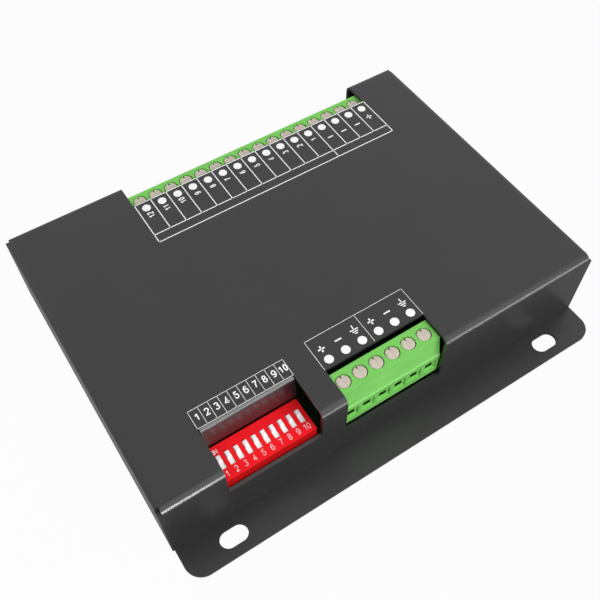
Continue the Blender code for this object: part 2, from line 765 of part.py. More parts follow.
def make_terminal_housing(name, poles, middle, screws_y, outward):
    """One block: a cell in each pole, open below, a screw well on top and a wire entry."""
    half = poles * POLE_PITCH / 2 + END_CHEEK
    mesh = prism(name, terminal_section(outward), "X", -half, half)
    housing = add_object(name, mesh, (middle, screws_y, 0.0), terminal_green())
    cells = bmesh.new()
    holes = bmesh.new()
    wells = bmesh.new()
    recesses = bmesh.new()
    entries = bmesh.new()
    line = (screws_y, outward)
    above = BLOCK_TOP + OVERRUN
    floor = BLOCK_UNDER - OVERRUN
    roof = BLOCK_TOP - CELL_ROOF
    recess = BLOCK_TOP - RECESS_DROP
    entry = BLOCK_TOP - ENTRY_DROP
    shallow = TERMINAL_FACE - RECESS_DEPTH
    inside = CELL_FRONT - OVERRUN
    beyond = TERMINAL_FACE + OVERRUN
    for x in pole_places(poles, middle):
        spot = (x, screws_y)
        add_across(cells, x, CELL_WIDTH, line, -CELL_BACK, CELL_FRONT, floor, roof)
        add_cylinder(holes, spot, roof - OVERRUN, above, SHANK_HOLE_RADIUS, 12)
        add_cylinder(wells, spot, BLOCK_TOP - WELL_DEPTH, above, WELL_RADIUS, 16)
        add_across(recesses, x, RECESS_WIDTH, line, shallow, beyond, recess - RECESS_HEIGHT, recess)
        add_across(entries, x, ENTRY_WIDTH, line, inside, beyond, entry - ENTRY_HEIGHT, entry)
    cut(housing, name + "_cell_cutter", cells)
    cut(housing, name + "_shank_cutter", holes)
    cut(housing, name + "_well_cutter", wells)
    cut(housing, name + "_recess_cutter", recesses)
    cut(housing, name + "_entry_cutter", entries)
    return housing


def terminal_screw_places():
    """X, Y and the outward direction of every terminal screw, rear block first."""
    rear = [(x, REAR_SCREWS_Y, 1) for x in pole_places(REAR_POLES, REAR_BLOCK_X)]
    front = [(x, FRONT_SCREWS_Y, -1) for x in pole_places(FRONT_POLES, FRONT_BLOCK_X)]
    return rear + front


def make_terminal_screws():
    """Screws that turn on the spot, each with its origin on its own axis."""
    mesh = slotted_screw_mesh(
        "terminal_screw",
        TERMINAL_SCREW_HEAD,
        TERMINAL_SCREW_HEAD_HEIGHT,
        TERMINAL_SCREW_SHANK,
        TERMINAL_SCREW_LENGTH,
        16,
    )
    screws = []
    for index, (x, y, outward) in enumerate(terminal_screw_places()):
        if outward > 0:
            name = f"rear_terminal_screw_{index + 1:02d}"
        else:
            name = f"front_terminal_screw_{index + 1 - REAR_POLES}"
        spot = (x, y, BLOCK_TOP - WELL_DEPTH + GAP)
        screws.append(add_object(name, mesh, spot, nickel()))
    return screws


# Address switch

def switch_places():
    first = SWITCH_X - (SWITCHES - 1) / 2 * SWITCH_PITCH
    return [first + index * SWITCH_PITCH for index in range(SWITCHES)]


def make_switch_housing():
    """The red housing: a floor, a hollow for the sliders and ten windows in its roof."""
    half = SWITCH_HALF
    depth = SWITCH_HALF_DEPTH
    shape = bmesh.new()
    add_span(
        shape,
        (SWITCH_X - half, SWITCH_Y - depth, BLOCK_UNDER),
        (SWITCH_X + half, SWITCH_Y + depth, SWITCH_TOP),
    )
    housing = add_object("address_switch_housing", to_mesh("switch", shape), look=switch_red())
    hollow = bmesh.new()
    half -= SWITCH_WALL
    depth -= SWITCH_WALL
    add_span(
        hollow,
        (SWITCH_X - half, SWITCH_Y - depth, BLOCK_UNDER + SWITCH_FLOOR),
        (SWITCH_X + half, SWITCH_Y + depth, SWITCH_TOP - SWITCH_ROOF),
    )
    windows = bmesh.new()
    for x in switch_places():
        size = (KNOB_WIDTH + WINDOW_SLACK * 2, SLIDER_WINDOW, SWITCH_ROOF * 3)
        add_box(windows, (x, WINDOW_Y, SWITCH_TOP), size)
    hollow_tool = tool_from("switch_hollow_cutter", hollow)
    combine(hollow_tool, tool_from("switch_window_adder", windows), "UNION")
    combine(housing, hollow_tool, "DIFFERENCE")
    return housing


def make_switch_sliders():
    """White sliders at ON, to the rear. Each origin is at its knob's middle on the roof."""
    low = BLOCK_UNDER + SWITCH_FLOOR + GAP
    high = SWITCH_TOP - SWITCH_ROOF - GAP
    knob_y = WINDOW_Y + SLIDER_WINDOW / 2 - WINDOW_SLACK - KNOB_LENGTH / 2
    front = WINDOW_Y - SLIDER_WINDOW / 2 - SLIDER_LAP - knob_y
    rear = SWITCH_Y + SLIDER_REAR - knob_y
    outline = [
        (front, low - SWITCH_TOP),
        (rear, low - SWITCH_TOP),
        (rear, high - SWITCH_TOP),
        (front, high - SWITCH_TOP),
    ]
    shape = bmesh.new()
    add_prism(shape, outline, "X", -SLIDER_WIDTH / 2, SLIDER_WIDTH / 2)
    blank = add_object("address_slider", to_mesh("address_slider", shape))
    foot = high - SWITCH_TOP - GAP
    side = [
        (-KNOB_LENGTH / 2, foot),
        (KNOB_LENGTH / 2, foot),
        (KNOB_LENGTH / 2, KNOB_PROUD),
        (-KNOB_LENGTH / 2 + KNOB_SLOPE, KNOB_PROUD),
        (-KNOB_LENGTH / 2, 0.0),
    ]
    knob = bmesh.new()
    add_prism(knob, side, "X", -KNOB_WIDTH / 2, KNOB_WIDTH / 2)
    join(blank, "slider_knob_adder", knob)
    mesh = settle(blank)
    bpy.data.objects.remove(blank, do_unlink=True)
    sliders = []
    for index, x in enumerate(switch_places(), 1):
        spot = (x, knob_y, SWITCH_TOP)
        sliders.append(add_object(f"address_slider_{index:02d}", mesh, spot, slider_white()))
    return sliders


# Power stage and logic

def power_package_mesh(name):
    """A flat power package: moulded body, cooling tab to the rear and two legs."""
    length, depth, height = TRANSISTOR_BODY
    half = [
        (-length / 2, 0.0),
        (-length / 2, height - TRANSISTOR_CHAMFER),
        (-length / 2 + TRANSISTOR_CHAMFER, height),
    ]
    body = add_object(name, prism(name, mirrored(half), "Y", -depth / 2, depth / 2))
    tab = bmesh.new()
    add_box(tab, (0.0, depth / 2, TRANSISTOR_TAB[2] / 2), TRANSISTOR_TAB)
    join(body, name + "_tab_adder", tab)
    legs = bmesh.new()
    for side in (-1, 1):
        lead_y = -depth / 2 - TRANSISTOR_LEAD[1] / 2 + LEAD_ROOT
        middle = (side * length / 4, lead_y, TRANSISTOR_LEAD[2] / 2)
        add_box(legs, middle, TRANSISTOR_LEAD)
    join(body, name + "_leg_adder", legs)
    mesh = settle(body)
    bpy.data.objects.remove(body, do_unlink=True)
    return mesh


def make_power_parts():
    """Twelve output transistors in two staggered rows behind the outputs' poles."""
    mesh = power_package_mesh("power_package")
    outputs = pole_places(REAR_POLES, REAR_BLOCK_X)[:OUTPUTS]
    parts = []
    for index, x in enumerate(outputs):
        spot = (x, REAR_SCREWS_Y + TRANSISTOR_ROWS[index % 2], BOARD_TOP + GAP)
        name = f"output_transistor_{OUTPUTS - index:02d}"
        parts.append(add_object(name, mesh, spot, package_black()))
    spot = (SUPPLY_X, REAR_SCREWS_Y + REGULATOR_ROW, BOARD_TOP + GAP)
    parts.append(add_object("voltage_regulator", mesh, spot, package_black()))
    return parts


def make_capacitor():
    """A can with a chamfered top and the groove rolled in over its seal."""
    crimp, half_width, depth = CAPACITOR_CRIMP
    profile = [
        (0.0, CAPACITOR_HEIGHT),
        (CAPACITOR_RADIUS - CAPACITOR_RIM, CAPACITOR_HEIGHT),
        (CAPACITOR_RADIUS, CAPACITOR_HEIGHT - CAPACITOR_RIM),
        (CAPACITOR_RADIUS, crimp + half_width),
        (CAPACITOR_RADIUS - depth, crimp),
        (CAPACITOR_RADIUS, crimp - half_width),
        (CAPACITOR_RADIUS, CAPACITOR_FOOT),
        (CAPACITOR_RADIUS - CAPACITOR_FOOT, 0.0),
        (0.0, 0.0),
    ]
    mesh = turned("filter_capacitor", profile, 24)
    smooth(mesh)
    spot = (SUPPLY_X, REAR_SCREWS_Y + CAPACITOR_ROW, BOARD_TOP + GAP)
    return add_object("filter_capacitor", mesh, spot, sleeve_blue())


def make_chip(name, body_size, pins, place):
    """A moulded chip with bent legs along both long sides."""
    length, depth, height = body_size
    shape = bmesh.new()
    add_span(shape, (-length / 2, -depth / 2, CHIP_LIFT), (length / 2, depth / 2, height))
    chip = add_object(name, to_mesh(name, shape), (*place, BOARD_TOP + GAP), package_black())
    legs = bmesh.new()
    root = depth / 2 - LEAD_ROOT
    knee = depth / 2 + PIN_REACH / 2
    toe = depth / 2 + PIN_REACH * 1.5
    upper = height / 2 + PIN_THICKNESS / 2
    lower = height / 2 - PIN_THICKNESS / 2
    pin_side = [
        (root, upper),
        (knee, upper),
        (knee + PIN_THICKNESS, PIN_THICKNESS),
        (toe, PIN_THICKNESS),
        (toe, 0.0),
        (knee, 0.0),
        (knee - PIN_THICKNESS, lower),
        (root, lower),
    ]
    for pin in range(pins):
        x = (pin - (pins - 1) / 2) * PIN_PITCH
        for side in (-1, 1):
            outline = [(side * across, up) for across, up in pin_side]
            add_prism(legs, outline, "X", x - PIN_WIDTH / 2, x + PIN_WIDTH / 2)
    tool = tool_from(name + "_leg_adder", legs)
    tool.location = chip.location
    combine(chip, tool, "UNION")
    return chip


def build():
    clear_scene()
    root = bpy.data.objects.new("led_dimmer", None)
    bpy.context.scene.collection.objects.link(root)
    pieces = [
        make_cover(),
        make_base_plate(),
        make_circuit_board(),
        make_terminal_housing(
            "rear_terminal_housing", REAR_POLES, REAR_BLOCK_X, REAR_SCREWS_Y, 1
        ),
        make_terminal_housing(
            "front_terminal_housing", FRONT_POLES, FRONT_BLOCK_X, FRONT_SCREWS_Y, -1
        ),
        make_switch_housing(),
        make_capacitor(),
        make_chip(
            "microcontroller",
            CONTROLLER_BODY,
            CONTROLLER_PINS,
            (CONTROLLER_X, FRONT_SCREWS_Y + CONTROLLER_ROW),
        ),
        make_chip(
            "bus_transceiver",
            TRANSCEIVER_BODY,
            TRANSCEIVER_PINS,
            (FRONT_BLOCK_X, FRONT_SCREWS_Y + TRANSCEIVER_ROW),
        ),
    ]
    pieces += make_board_screws()
    pieces += make_cover_screws()
    pieces += make_terminal_screws()
    pieces += make_switch_sliders()
    pieces += make_power_parts()
    for piece in pieces:
        hold(piece, root)


build()
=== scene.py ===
"""The dressed LED dimmer: fine pieces, materials, print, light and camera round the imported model.

Sizes are in millimetres, as in the CAD source, and become metres when a mesh is made.
"""
import math

import bmesh
import bpy
from mathutils import Matrix, Vector


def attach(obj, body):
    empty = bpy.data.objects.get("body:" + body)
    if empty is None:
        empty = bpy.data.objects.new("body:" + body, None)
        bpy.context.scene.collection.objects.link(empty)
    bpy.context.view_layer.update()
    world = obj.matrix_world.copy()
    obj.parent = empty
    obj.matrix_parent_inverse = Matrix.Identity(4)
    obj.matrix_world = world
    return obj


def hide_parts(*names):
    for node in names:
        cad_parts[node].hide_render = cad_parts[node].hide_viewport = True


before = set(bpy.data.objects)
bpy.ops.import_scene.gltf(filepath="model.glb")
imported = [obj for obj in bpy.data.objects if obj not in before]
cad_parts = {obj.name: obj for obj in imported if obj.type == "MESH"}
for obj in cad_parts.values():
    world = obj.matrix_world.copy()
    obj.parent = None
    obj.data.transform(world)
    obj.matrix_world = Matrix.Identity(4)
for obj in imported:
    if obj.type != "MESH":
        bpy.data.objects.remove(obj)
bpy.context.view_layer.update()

MM = 0.001

# Cover
SHEET = 1.0
HALF_LENGTH = 67.5
HALF_DEPTH = 47.4
COVER_TOP = 26.5
BEND_RADIUS = 2.3
FLANGE_REACH = 10.3
FLANGE_CORNER = 5.0
FLANGE_SETBACK = 0.5
END_WALL_LIFT = 0.5
CORNER_RELIEF = (1.1, 1.9)
SLOT_LENGTH = 7.9
SLOT_WIDTH = 4.8
SLOT_SPAN = 105.4
SLOT_EDGE = 5.0
GAP = 0.3
TAB_WIDTH = 10.0
TAB_REACH = 8.0
TAB_HOLE_RADIUS = 1.5
COVER_SCREW_INSET = 5.0
REAR_NOTCH = (-31.4, 50.2, 38.3, 9.8)        # left, right, inner edge, lower edge
FRONT_WINDOW = (-15.03, 15.97, -37.1, 9.8)
SWITCH_WINDOW = (-49.7, -22.5, -33.5955, 15.4)
TONGUE_HIGH_Y = -33.8955    # where its bend starts, 0.3 in front of the window's inner edge
TONGUE_LOW_Y = -35.9
TONGUE_LENGTH = 6.5
TONGUE_RADIUS = 1.0
TONGUE_LEAN = math.radians(9.0)
TONGUE_ROOT = 1.0
SHEET_BEVEL = 0.14

# Terminal blocks
POLE_PITCH = 5.08
REAR_POLES = 16
FRONT_POLES = 6
END_CHEEK = 0.45
BLOCK_UNDER = 10.75
BLOCK_TOP = 25.2
TERMINAL_BACK = 3.3
TERMINAL_TOP = 2.95
TERMINAL_SHOULDER = 4.25
TERMINAL_FACE = 4.6
SLOPE_DROP = 6.15
SHOULDER_DROP = 6.5
REAR_BLOCK_X = 9.6
FRONT_BLOCK_X = 0.2
REAR_SCREWS_Y = 40.2
FRONT_SCREWS_Y = -41.5
CELL_WIDTH = 3.6
CELL_BACK = 2.4
CELL_FRONT = 3.95
CELL_ROOF = 5.2
WELL_RADIUS = 2.1
WELL_DEPTH = 2.6
SHANK_HOLE_RADIUS = 1.6
RECESS_WIDTH = 4.1
RECESS_HEIGHT = 4.0
RECESS_DEPTH = 0.45
RECESS_DROP = 8.2
ENTRY_WIDTH = 2.3
ENTRY_HEIGHT = 2.1
ENTRY_DROP = 9.2
BLOCK_BEVEL = 0.1

# Terminal screws
SCREW_HEAD = 1.95
SCREW_HEAD_HEIGHT = 2.1
SCREW_SHANK = 1.3
SCREW_LENGTH = 7.0
SCREW_SLOT_WIDTH = 0.5
SCREW_SLOT_DEPTHS = (0.04, 0.7)     # at the front and the rear end
SCREW_SIDES = 48

# Address switch
SWITCHES = 10
SWITCH_PITCH = 2.54
SWITCH_X = -36.65
SWITCH_Y = -41.15
SWITCH_LENGTH = 26.65
SWITCH_DEPTH = 9.9
SWITCH_TOP = 18.7
SWITCH_ROOF = 0.3
SWITCH_WALL = 0.55
SWITCH_HOLLOW = 15.15
SWITCH_BEVEL = 0.05
WINDOW_Y = -40.9
WINDOW_WIDTH = 1.4
WINDOW_LENGTH = 3.95
KNOB_LENGTH = 1.8
KNOB_PROUD = 0.4
KNOB_TRAVEL = 1.75
KNOB_WIDTH = 1.1
SLIDER_WIDTH = 1.9
SLIDER_LAP = 0.125      # how far its deck reaches past the window at either end of the travel
DECK_DROP = 0.35

# Print
PRINT_THICK = 0.03
PRINT_LAYER = 0.003     # each stroke stands this much higher than the one before
PRINT_LINE = 0.28
FINE_LINE = 0.12
DOT_RADIUS = 1.25
SIGN_STROKE = 0.42
EARTH_STROKE = 0.3

# Cutting and rounding
BEYOND = 3.0            # how far a cutting tool reaches past what it cuts
ROUNDED_FROM = math.radians(30)
SHARP_FROM = math.radians(50)
FLAT_WEIGHT = 80
SCREW_BEVEL = 0.05
SLIDER_BEVEL = 0.06

# Coat
COAT_BLACK = (0.019, 0.019, 0.019)
PAINTED_TONGUE_REFLECTION = (0.025, 0.002, 0.003, 1.0)    # painted reflection of the red of the switch below it
# painted highlight: the tongue's fold painted light grey
PAINTED_FOLD_HIGHLIGHT = (0.15, 0.15, 0.15, 1.0)
# painted highlight: the cut edge in front of the switch painted grey
PAINTED_SILL_HIGHLIGHT = (0.06, 0.06, 0.06, 1.0)
TONGUE_POLISH = 0.03

# Light
SOFTBOX_PLACE = (234.0, -526.0, 556.0)
SOFTBOX_SIZE = (800.0, 500.0)
SOFTBOX_RADIANCE = 4.2
SHEEN_RADIANCE = 5.0
STRIP_Y = -140.0
LEFT_STRIP = (-78.0, -36.0, 36.0)           # left end, right end, radiance
RIGHT_STRIP = (-8.0, 150.0, 11.5)
AMBIENT = 0.5
GROUND_WHITE = 0.97

# Camera, solved from the photograph
CAMERA_PLACE = (-72.59, -115.59, 200.11)
CAMERA_AZIMUTH = math.radians(-122.583)
CAMERA_ELEVATION = math.radians(55.665)
CAMERA_ROLL = math.radians(-0.36)
CAMERA_LENS = 47.42


# Mesh helpers

def to_mesh(name, shape):
    """Close a bmesh whose points are in millimetres and keep it as a mesh in metres."""
    bmesh.ops.recalc_face_normals(shape, faces=shape.faces)
    bmesh.ops.scale(shape, vec=(MM, MM, MM), verts=shape.verts)
    mesh = bpy.data.meshes.new(name)
    shape.to_mesh(mesh)
    shape.free()
    return mesh


def add_object(name, mesh, place=(0.0, 0.0, 0.0)):
    thing = bpy.data.objects.new(name, mesh)
    bpy.context.scene.collection.objects.link(thing)
    thing.location = [value * MM for value in place]
    return thing


def arc(middle, radius, start, end, steps):
    """Points on an arc in a plane, with angles in degrees."""
    points = []
    for step in range(steps + 1):
        turn = math.radians(start + (end - start) * step / steps)
        points.append((middle[0] + radius * math.cos(turn), middle[1] + radius * math.sin(turn)))
    return points


def mirrored(points):
    """An outline's left half, followed by its mirror image."""
    return points + [(-across, up) for across, up in reversed(points)]


def add_prism(shape, outline, axis, low, high):
    """Push a closed outline along X, Y or Z and add it to the bmesh."""
    order = {"X": (2, 0, 1), "Y": (0, 2, 1), "Z": (0, 1, 2)}[axis]
    rings = []
    for level in (low, high):
        ring = []
        for point in outline:
            flat = (*point, level)
            ring.append(shape.verts.new([flat[index] for index in order]))
        rings.append(ring)
    shape.faces.new(rings[0])
    shape.faces.new(list(reversed(rings[1])))
    count = len(outline)
    for index in range(count):
        after = (index + 1) % count
        shape.faces.new((rings[0][index], rings[1][index], rings[1][after], rings[0][after]))


def add_span(shape, low, high):
    """A box between two opposite corners."""
    middle = [(a + b) / 2 for a, b in zip(low, high)]
    size = [abs(b - a) for a, b in zip(low, high)]
    place = Matrix.Translation(middle) @ Matrix.Diagonal((*size, 1.0))
    bmesh.ops.create_cube(shape, size=1.0, matrix=place)


def add_cylinder(shape, middle, low, high, radius, sides=32):
    place = Matrix.Translation((middle[0], middle[1], (low + high) / 2))
    bmesh.ops.create_cone(
        shape,
        cap_ends=True,
        segments=sides,
        radius1=radius,
        radius2=radius,
        depth=high - low,
        matrix=place,
    )


def add_across(shape, x, width, line, near, far, low, high):
    """A box in one pole. near and far are measured outward from the line of the screws."""
    screws_y, outward = line
    ends = sorted((screws_y + outward * near, screws_y + outward * far))
    add_span(shape, (x - width / 2, ends[0], low), (x + width / 2, ends[1], high))


def stadium(middle, length, width, steps=16):
    """The outline of a slot with round ends, long side along X."""
    half = (length - width) / 2
    right = arc((middle[0] + half, middle[1]), width / 2, -90, 90, steps)
    left = arc((middle[0] - half, middle[1]), width / 2, 90, 270, steps)
    return right + left


def combine(thing, name, shape, operation="DIFFERENCE"):
    """Cut, join or intersect with a shape."""
    use_tool(thing, add_object(name, to_mesh(name, shape)), operation)


def use_tool(thing, tool, operation="DIFFERENCE"):
    """Cut, join or intersect with an object that is then thrown away."""
    step = thing.modifiers.new(tool.name, "BOOLEAN")
    step.operation = operation
    step.object = tool
    step.solver = "EXACT"
    settle(thing)
    bpy.data.objects.remove(tool, do_unlink=True)


def settle(thing):
    """Keep the result of an object's modifiers as its mesh."""
    bpy.context.view_layer.update()
    ready = thing.evaluated_get(bpy.context.evaluated_depsgraph_get())
    mesh = bpy.data.meshes.new_from_object(ready)
    thing.modifiers.clear()
    thing.data = mesh
    mesh.name = thing.name


def soften(thing, width, segments=2):
    """Round the outer sharp edges a little and shade smooth, with flat faces kept flat."""
    shape = bmesh.new()
    shape.from_mesh(thing.data)
    weight = shape.edges.layers.float.new("bevel_weight_edge")
    for edge in shape.edges:
        if edge.is_manifold and edge.is_convex and edge.calc_face_angle() > ROUNDED_FROM:
            edge[weight] = 1.0
    shape.to_mesh(thing.data)
    shape.free()
    step = thing.modifiers.new("edges", "BEVEL")
    step.width = width * MM
    step.segments = segments
    step.limit_method = "WEIGHT"
    settle(thing)
    thing.data.shade_smooth()
    thing.data.set_sharp_from_angle(angle=SHARP_FROM)
    even = thing.modifiers.new("normals", "WEIGHTED_NORMAL")
    even.keep_sharp = True
    even.weight = FLAT_WEIGHT
    settle(thing)


def dress(thing, look, body, slot, *nodes):
    """Give a new piece its material, its body and the nodes it stands for. slot is not used."""
    thing.data.materials.clear()
    thing.data.materials.append(look)
    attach(thing, body)
    if nodes:
        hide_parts(*nodes)


def pole_places(poles, middle):
    first = middle - (poles - 1) / 2 * POLE_PITCH
    return [first + index * POLE_PITCH for index in range(poles)]


# Materials

class Nodes:
    """A material's node tree with short ways to add and join nodes."""

    def __init__(self, name):
        self.material = bpy.data.materials.new(name)
        self.material.use_nodes = True
        self.tree = self.material.node_tree
        self.shader = self.tree.nodes["Principled BSDF"]
        self.coordinates = self.add("ShaderNodeTexCoord")

    def add(self, kind, **values):
        """Add a node. Each value sets its property of that name, or else its input."""
        node = self.tree.nodes.new(kind)
        for key, value in values.items():
            if hasattr(node, key):
                setattr(node, key, value)
            else:
                node.inputs[key.replace("_", " ")].default_value = value
        return node

    def join(self, source, output, target, socket):
        self.tree.links.new(source.outputs[output], target.inputs[socket])

    def noise(self, scale, detail=3.0, roughness=0.5, stretch=None):
        """Noise that keeps its place on the object."""
        node = self.add("ShaderNodeTexNoise", Scale=scale, Detail=detail, Roughness=roughness)
        if stretch is None:
            self.join(self.coordinates, "Object", node, "Vector")
        else:
            mapping = self.add("ShaderNodeMapping", Scale=stretch)
            self.join(self.coordinates, "Object", mapping, "Vector")
            self.join(mapping, "Vector", node, "Vector")
        return node

    def ramp(self, source, output, stops):
        """Turn a value into a colour: stops are (position, colour)."""
        node = self.add("ShaderNodeValToRGB")
        marks = node.color_ramp.elements
        while len(marks) < len(stops):
            marks.new(0.5)
        for mark, (place, colour) in zip(marks, stops):
            mark.position = place
            mark.color = (*colour, 1.0)
        self.join(source, output, node, "Fac")
        return node

    def spread(self, source, output, low, high):
        """Map a noise value from its usual range to low and high."""
        node = self.add("ShaderNodeMapRange")
        node.inputs["From Min"].default_value = 0.3
        node.inputs["From Max"].default_value = 0.7
        node.inputs["To Min"].default_value = low
        node.inputs["To Max"].default_value = high
        self.join(source, output, node, "Value")
        return node

    def maths(self, operation, *values):
        """Join sockets and numbers by one operation, and return the socket of the result."""
        node = self.add("ShaderNodeMath", operation=operation)
        for value, target in zip(values, node.inputs):
            if isinstance(value, float):
                target.default_value = value
            else:
                self.tree.links.new(value, target)
        return node.outputs["Value"]

    def inside(self, low, high):
        """A socket that is 1 between two opposite corners in millimetres, and 0 elsewhere."""
        place = self.add("ShaderNodeSeparateXYZ")
        self.join(self.coordinates, "Object", place, "Vector")
        share = 1.0
        for axis, least, most in zip("XYZ", low, high):
            middle = (least + most) / 2 * MM
            reach = (most - least) / 2 * MM
            within = self.maths("COMPARE", place.outputs[axis], middle, reach)
            share = self.maths("MULTIPLY", share, within)
        return share

    def blend(self, share, first, second):
        """A socket that goes from first, a socket, to second, a fixed colour, with the share."""
        mix = self.add("ShaderNodeMix", data_type="RGBA")
        colours = [socket for socket in mix.inputs if socket.type == "RGBA"]
        self.tree.links.new(share, mix.inputs[0])
        self.tree.links.new(first, colours[0])
        colours[1].default_value = second
        return [socket for socket in mix.outputs if socket.type == "RGBA"][0]

    def bump(self, source, output, strength, depth):
        node = self.add("ShaderNodeBump", Strength=strength, Distance=depth * MM)
        self.join(source, output, node, "Height")
        self.join(node, "Normal", self.shader, "Normal")
        return node

    def set(self, **values):
        for key, value in values.items():
            self.shader.inputs[key.replace("_", " ")].default_value = value


def near(colour, change):
    """A colour a little darker or lighter than another."""
    return tuple(min(1.0, part * change) for part in colour)


def coat_look():
    """Black powder coat: fine orange peel, faint mottling, satin sheen.

    It is smoother on the tongue behind the switch, which has the switch's red painted on it as a
    painted reflection. The tongue's fold and the cut edge in front of the switch are painted lighter
    as painted highlights. A box, with a little to spare, marks each of the three.
    """
    nodes = Nodes("powder_coat")
    mottle = nodes.noise(90.0, 4.0, 0.6)
    ramp = nodes.ramp(mottle, "Fac", [(0.3, near(COAT_BLACK, 0.93)), (0.7, near(COAT_BLACK, 1.07))])
    left, right, _, sill = SWITCH_WINDOW
    tongue = nodes.inside(
        (left, TONGUE_LOW_Y - 1.0, sill),
        (right, TONGUE_HIGH_Y + 1.5, COVER_TOP - 1.0),
    )
    edge = nodes.inside(
        (left, -HALF_DEPTH - 0.1, sill - 0.02),
        (right, -HALF_DEPTH + 1.1, sill + 0.1),
    )
    fold = nodes.inside(
        (left, TONGUE_HIGH_Y - 0.8, COVER_TOP - 0.6),
        (right, TONGUE_HIGH_Y - 0.02, COVER_TOP + 0.1),
    )
    colour = ramp.outputs["Color"]
    # painted light: a painted reflection on the tongue, and painted highlights on its fold and on
    # the sill
    for share, other in ((tongue, PAINTED_TONGUE_REFLECTION), (edge, PAINTED_SILL_HIGHLIGHT), (fold, PAINTED_FOLD_HIGHLIGHT)):
        colour = nodes.blend(share, colour, other)
    nodes.tree.links.new(colour, nodes.shader.inputs["Base Color"])
    coat_sheen(nodes, tongue)
    peel = nodes.noise(2600.0, 3.0, 0.55)
    nodes.bump(peel, "Fac", 0.12, 0.02)
    return nodes.material


def coat_sheen(nodes, tongue):
    """Satin in fine patches, a little smoother and brighter on the tongue."""
    gloss = nodes.maths("MULTIPLY_ADD", tongue, 0.5, 0.5)
    nodes.tree.links.new(gloss, nodes.shader.inputs["Specular IOR Level"])
    patch = nodes.noise(900.0, 2.0, 0.5)
    satin = nodes.spread(patch, "Fac", 0.31, 0.35)
    polish = nodes.maths("MULTIPLY", tongue, TONGUE_POLISH)
    rough = nodes.maths("SUBTRACT", satin.outputs["Result"], polish)
    nodes.tree.links.new(rough, nodes.shader.inputs["Roughness"])


def moulded_look(name, colour, roughness, grain=0.1):
    """Injection-moulded plastic: slight flow marks in the colour and a fine matt grain.

    Gives its nodes, with the one for the colour as flow.
    """
    nodes = Nodes(name)
    marks = nodes.noise(140.0, 3.0, 0.5, stretch=(1.0, 1.0, 2.5))
    nodes.flow = nodes.ramp(marks, "Fac", [(0.3, near(colour, 0.94)), (0.7, near(colour, 1.05))])
    nodes.join(nodes.flow, "Color", nodes.shader, "Base Color")
    patch = nodes.noise(700.0, 2.0, 0.5)
    rough = nodes.spread(patch, "Fac", roughness - 0.04, roughness + 0.05)
    nodes.join(rough, "Result", nodes.shader, "Roughness")
    fine = nodes.noise(4200.0, 2.0, 0.6)
    nodes.bump(fine, "Fac", grain, 0.01)
    return nodes


def terminal_look():
    nodes = moulded_look("terminal_plastic", (0.19, 0.6, 0.11), 0.45)
    nodes.set(Specular_IOR_Level=0.3)
    return nodes.material


def switch_look():
    """Red plastic with painted shade: light red on the top, deep red on the faces that stand
    upright.
    """
    nodes = moulded_look("switch_plastic", (1.0, 1.0, 1.0), 0.45, 0.05)
    surface = nodes.add("ShaderNodeNewGeometry")
    parts = nodes.add("ShaderNodeSeparateXYZ")
    nodes.join(surface, "Normal", parts, "Vector")
    # painted shade: the red follows the face's slope, deep on upright faces and light on top
    red = nodes.ramp(parts, "Z", [(0.3, (0.56, 0.0005, 0.0012)), (0.9, (0.98, 0.013, 0.021))])
    colour = nodes.add("ShaderNodeVectorMath", operation="MULTIPLY")
    nodes.join(red, "Color", colour, 0)
    nodes.join(nodes.flow, "Color", colour, 1)
    nodes.join(colour, "Vector", nodes.shader, "Base Color")
    nodes.set(Specular_IOR_Level=0.06)
    return nodes.material


def slider_look():
    return moulded_look("slider_plastic", (0.98, 0.98, 0.97), 0.35, 0.05).material


def epoxy_look():
    return moulded_look("moulded_epoxy", (0.022, 0.022, 0.024), 0.5, 0.2).material


def ink_look(name, colour):
    """Screen-printed ink: nearly even, with a faint mesh texture."""
    nodes = Nodes(name)
    mottle = nodes.noise(800.0, 2.0, 0.5)
    ramp = nodes.ramp(mottle, "Fac", [(0.3, near(colour, 0.96)), (0.7, near(colour, 1.03))])
    nodes.join(ramp, "Color", nodes.shader, "Base Color")
    mesh = nodes.noise(5000.0, 1.0, 0.5)
    nodes.bump(mesh, "Fac", 0.05, 0.005)
    nodes.set(Roughness=0.5, Specular_IOR_Level=0.3)
    return nodes.material


def nickel_look():
    """Matt nickel with the rings a lathe leaves on a screw's head."""
    nodes = Nodes("turned_nickel")
    colour = (0.6, 0.53, 0.45)
    mottle = nodes.noise(1500.0, 3.0, 0.6)
    ramp = nodes.ramp(mottle, "Fac", [(0.25, near(colour, 0.86)), (0.75, near(colour, 1.1))])
    nodes.join(ramp, "Color", nodes.shader, "Base Color")
    rings = nodes.add("ShaderNodeTexWave", wave_type="RINGS", rings_direction="Z")
    rings.inputs["Scale"].default_value = 900.0
    rings.inputs["Distortion"].default_value = 1.2
    rings.inputs["Detail"].default_value = 2.0
    nodes.join(nodes.coordinates, "Object", rings, "Vector")
    nodes.bump(rings, "Fac", 0.12, 0.01)
    rough = nodes.spread(mottle, "Fac", 0.42, 0.55)
    nodes.join(rough, "Result", nodes.shader, "Roughness")
    nodes.set(Metallic=0.4)
    return nodes.material


def zinc_look():
    """Zinc-plated steel: brushed along X, with the soft cloudy patches of the plating."""
    nodes = Nodes("zinc_plated_steel")
    colour = (0.58, 0.6, 0.62)
    clouds = nodes.noise(60.0, 4.0, 0.6)
    ramp = nodes.ramp(clouds, "Fac", [(0.3, near(colour, 0.85)), (0.7, near(colour, 1.08))])
    nodes.join(ramp, "Color", nodes.shader, "Base Color")
    brush = nodes.noise(800.0, 3.0, 0.6, stretch=(0.05, 1.0, 1.0))
    rough = nodes.spread(brush, "Fac", 0.28, 0.45)
    nodes.join(rough, "Result", nodes.shader, "Roughness")
    nodes.bump(brush, "Fac", 0.08, 0.01)
    nodes.set(Metallic=1.0)
    return nodes.material


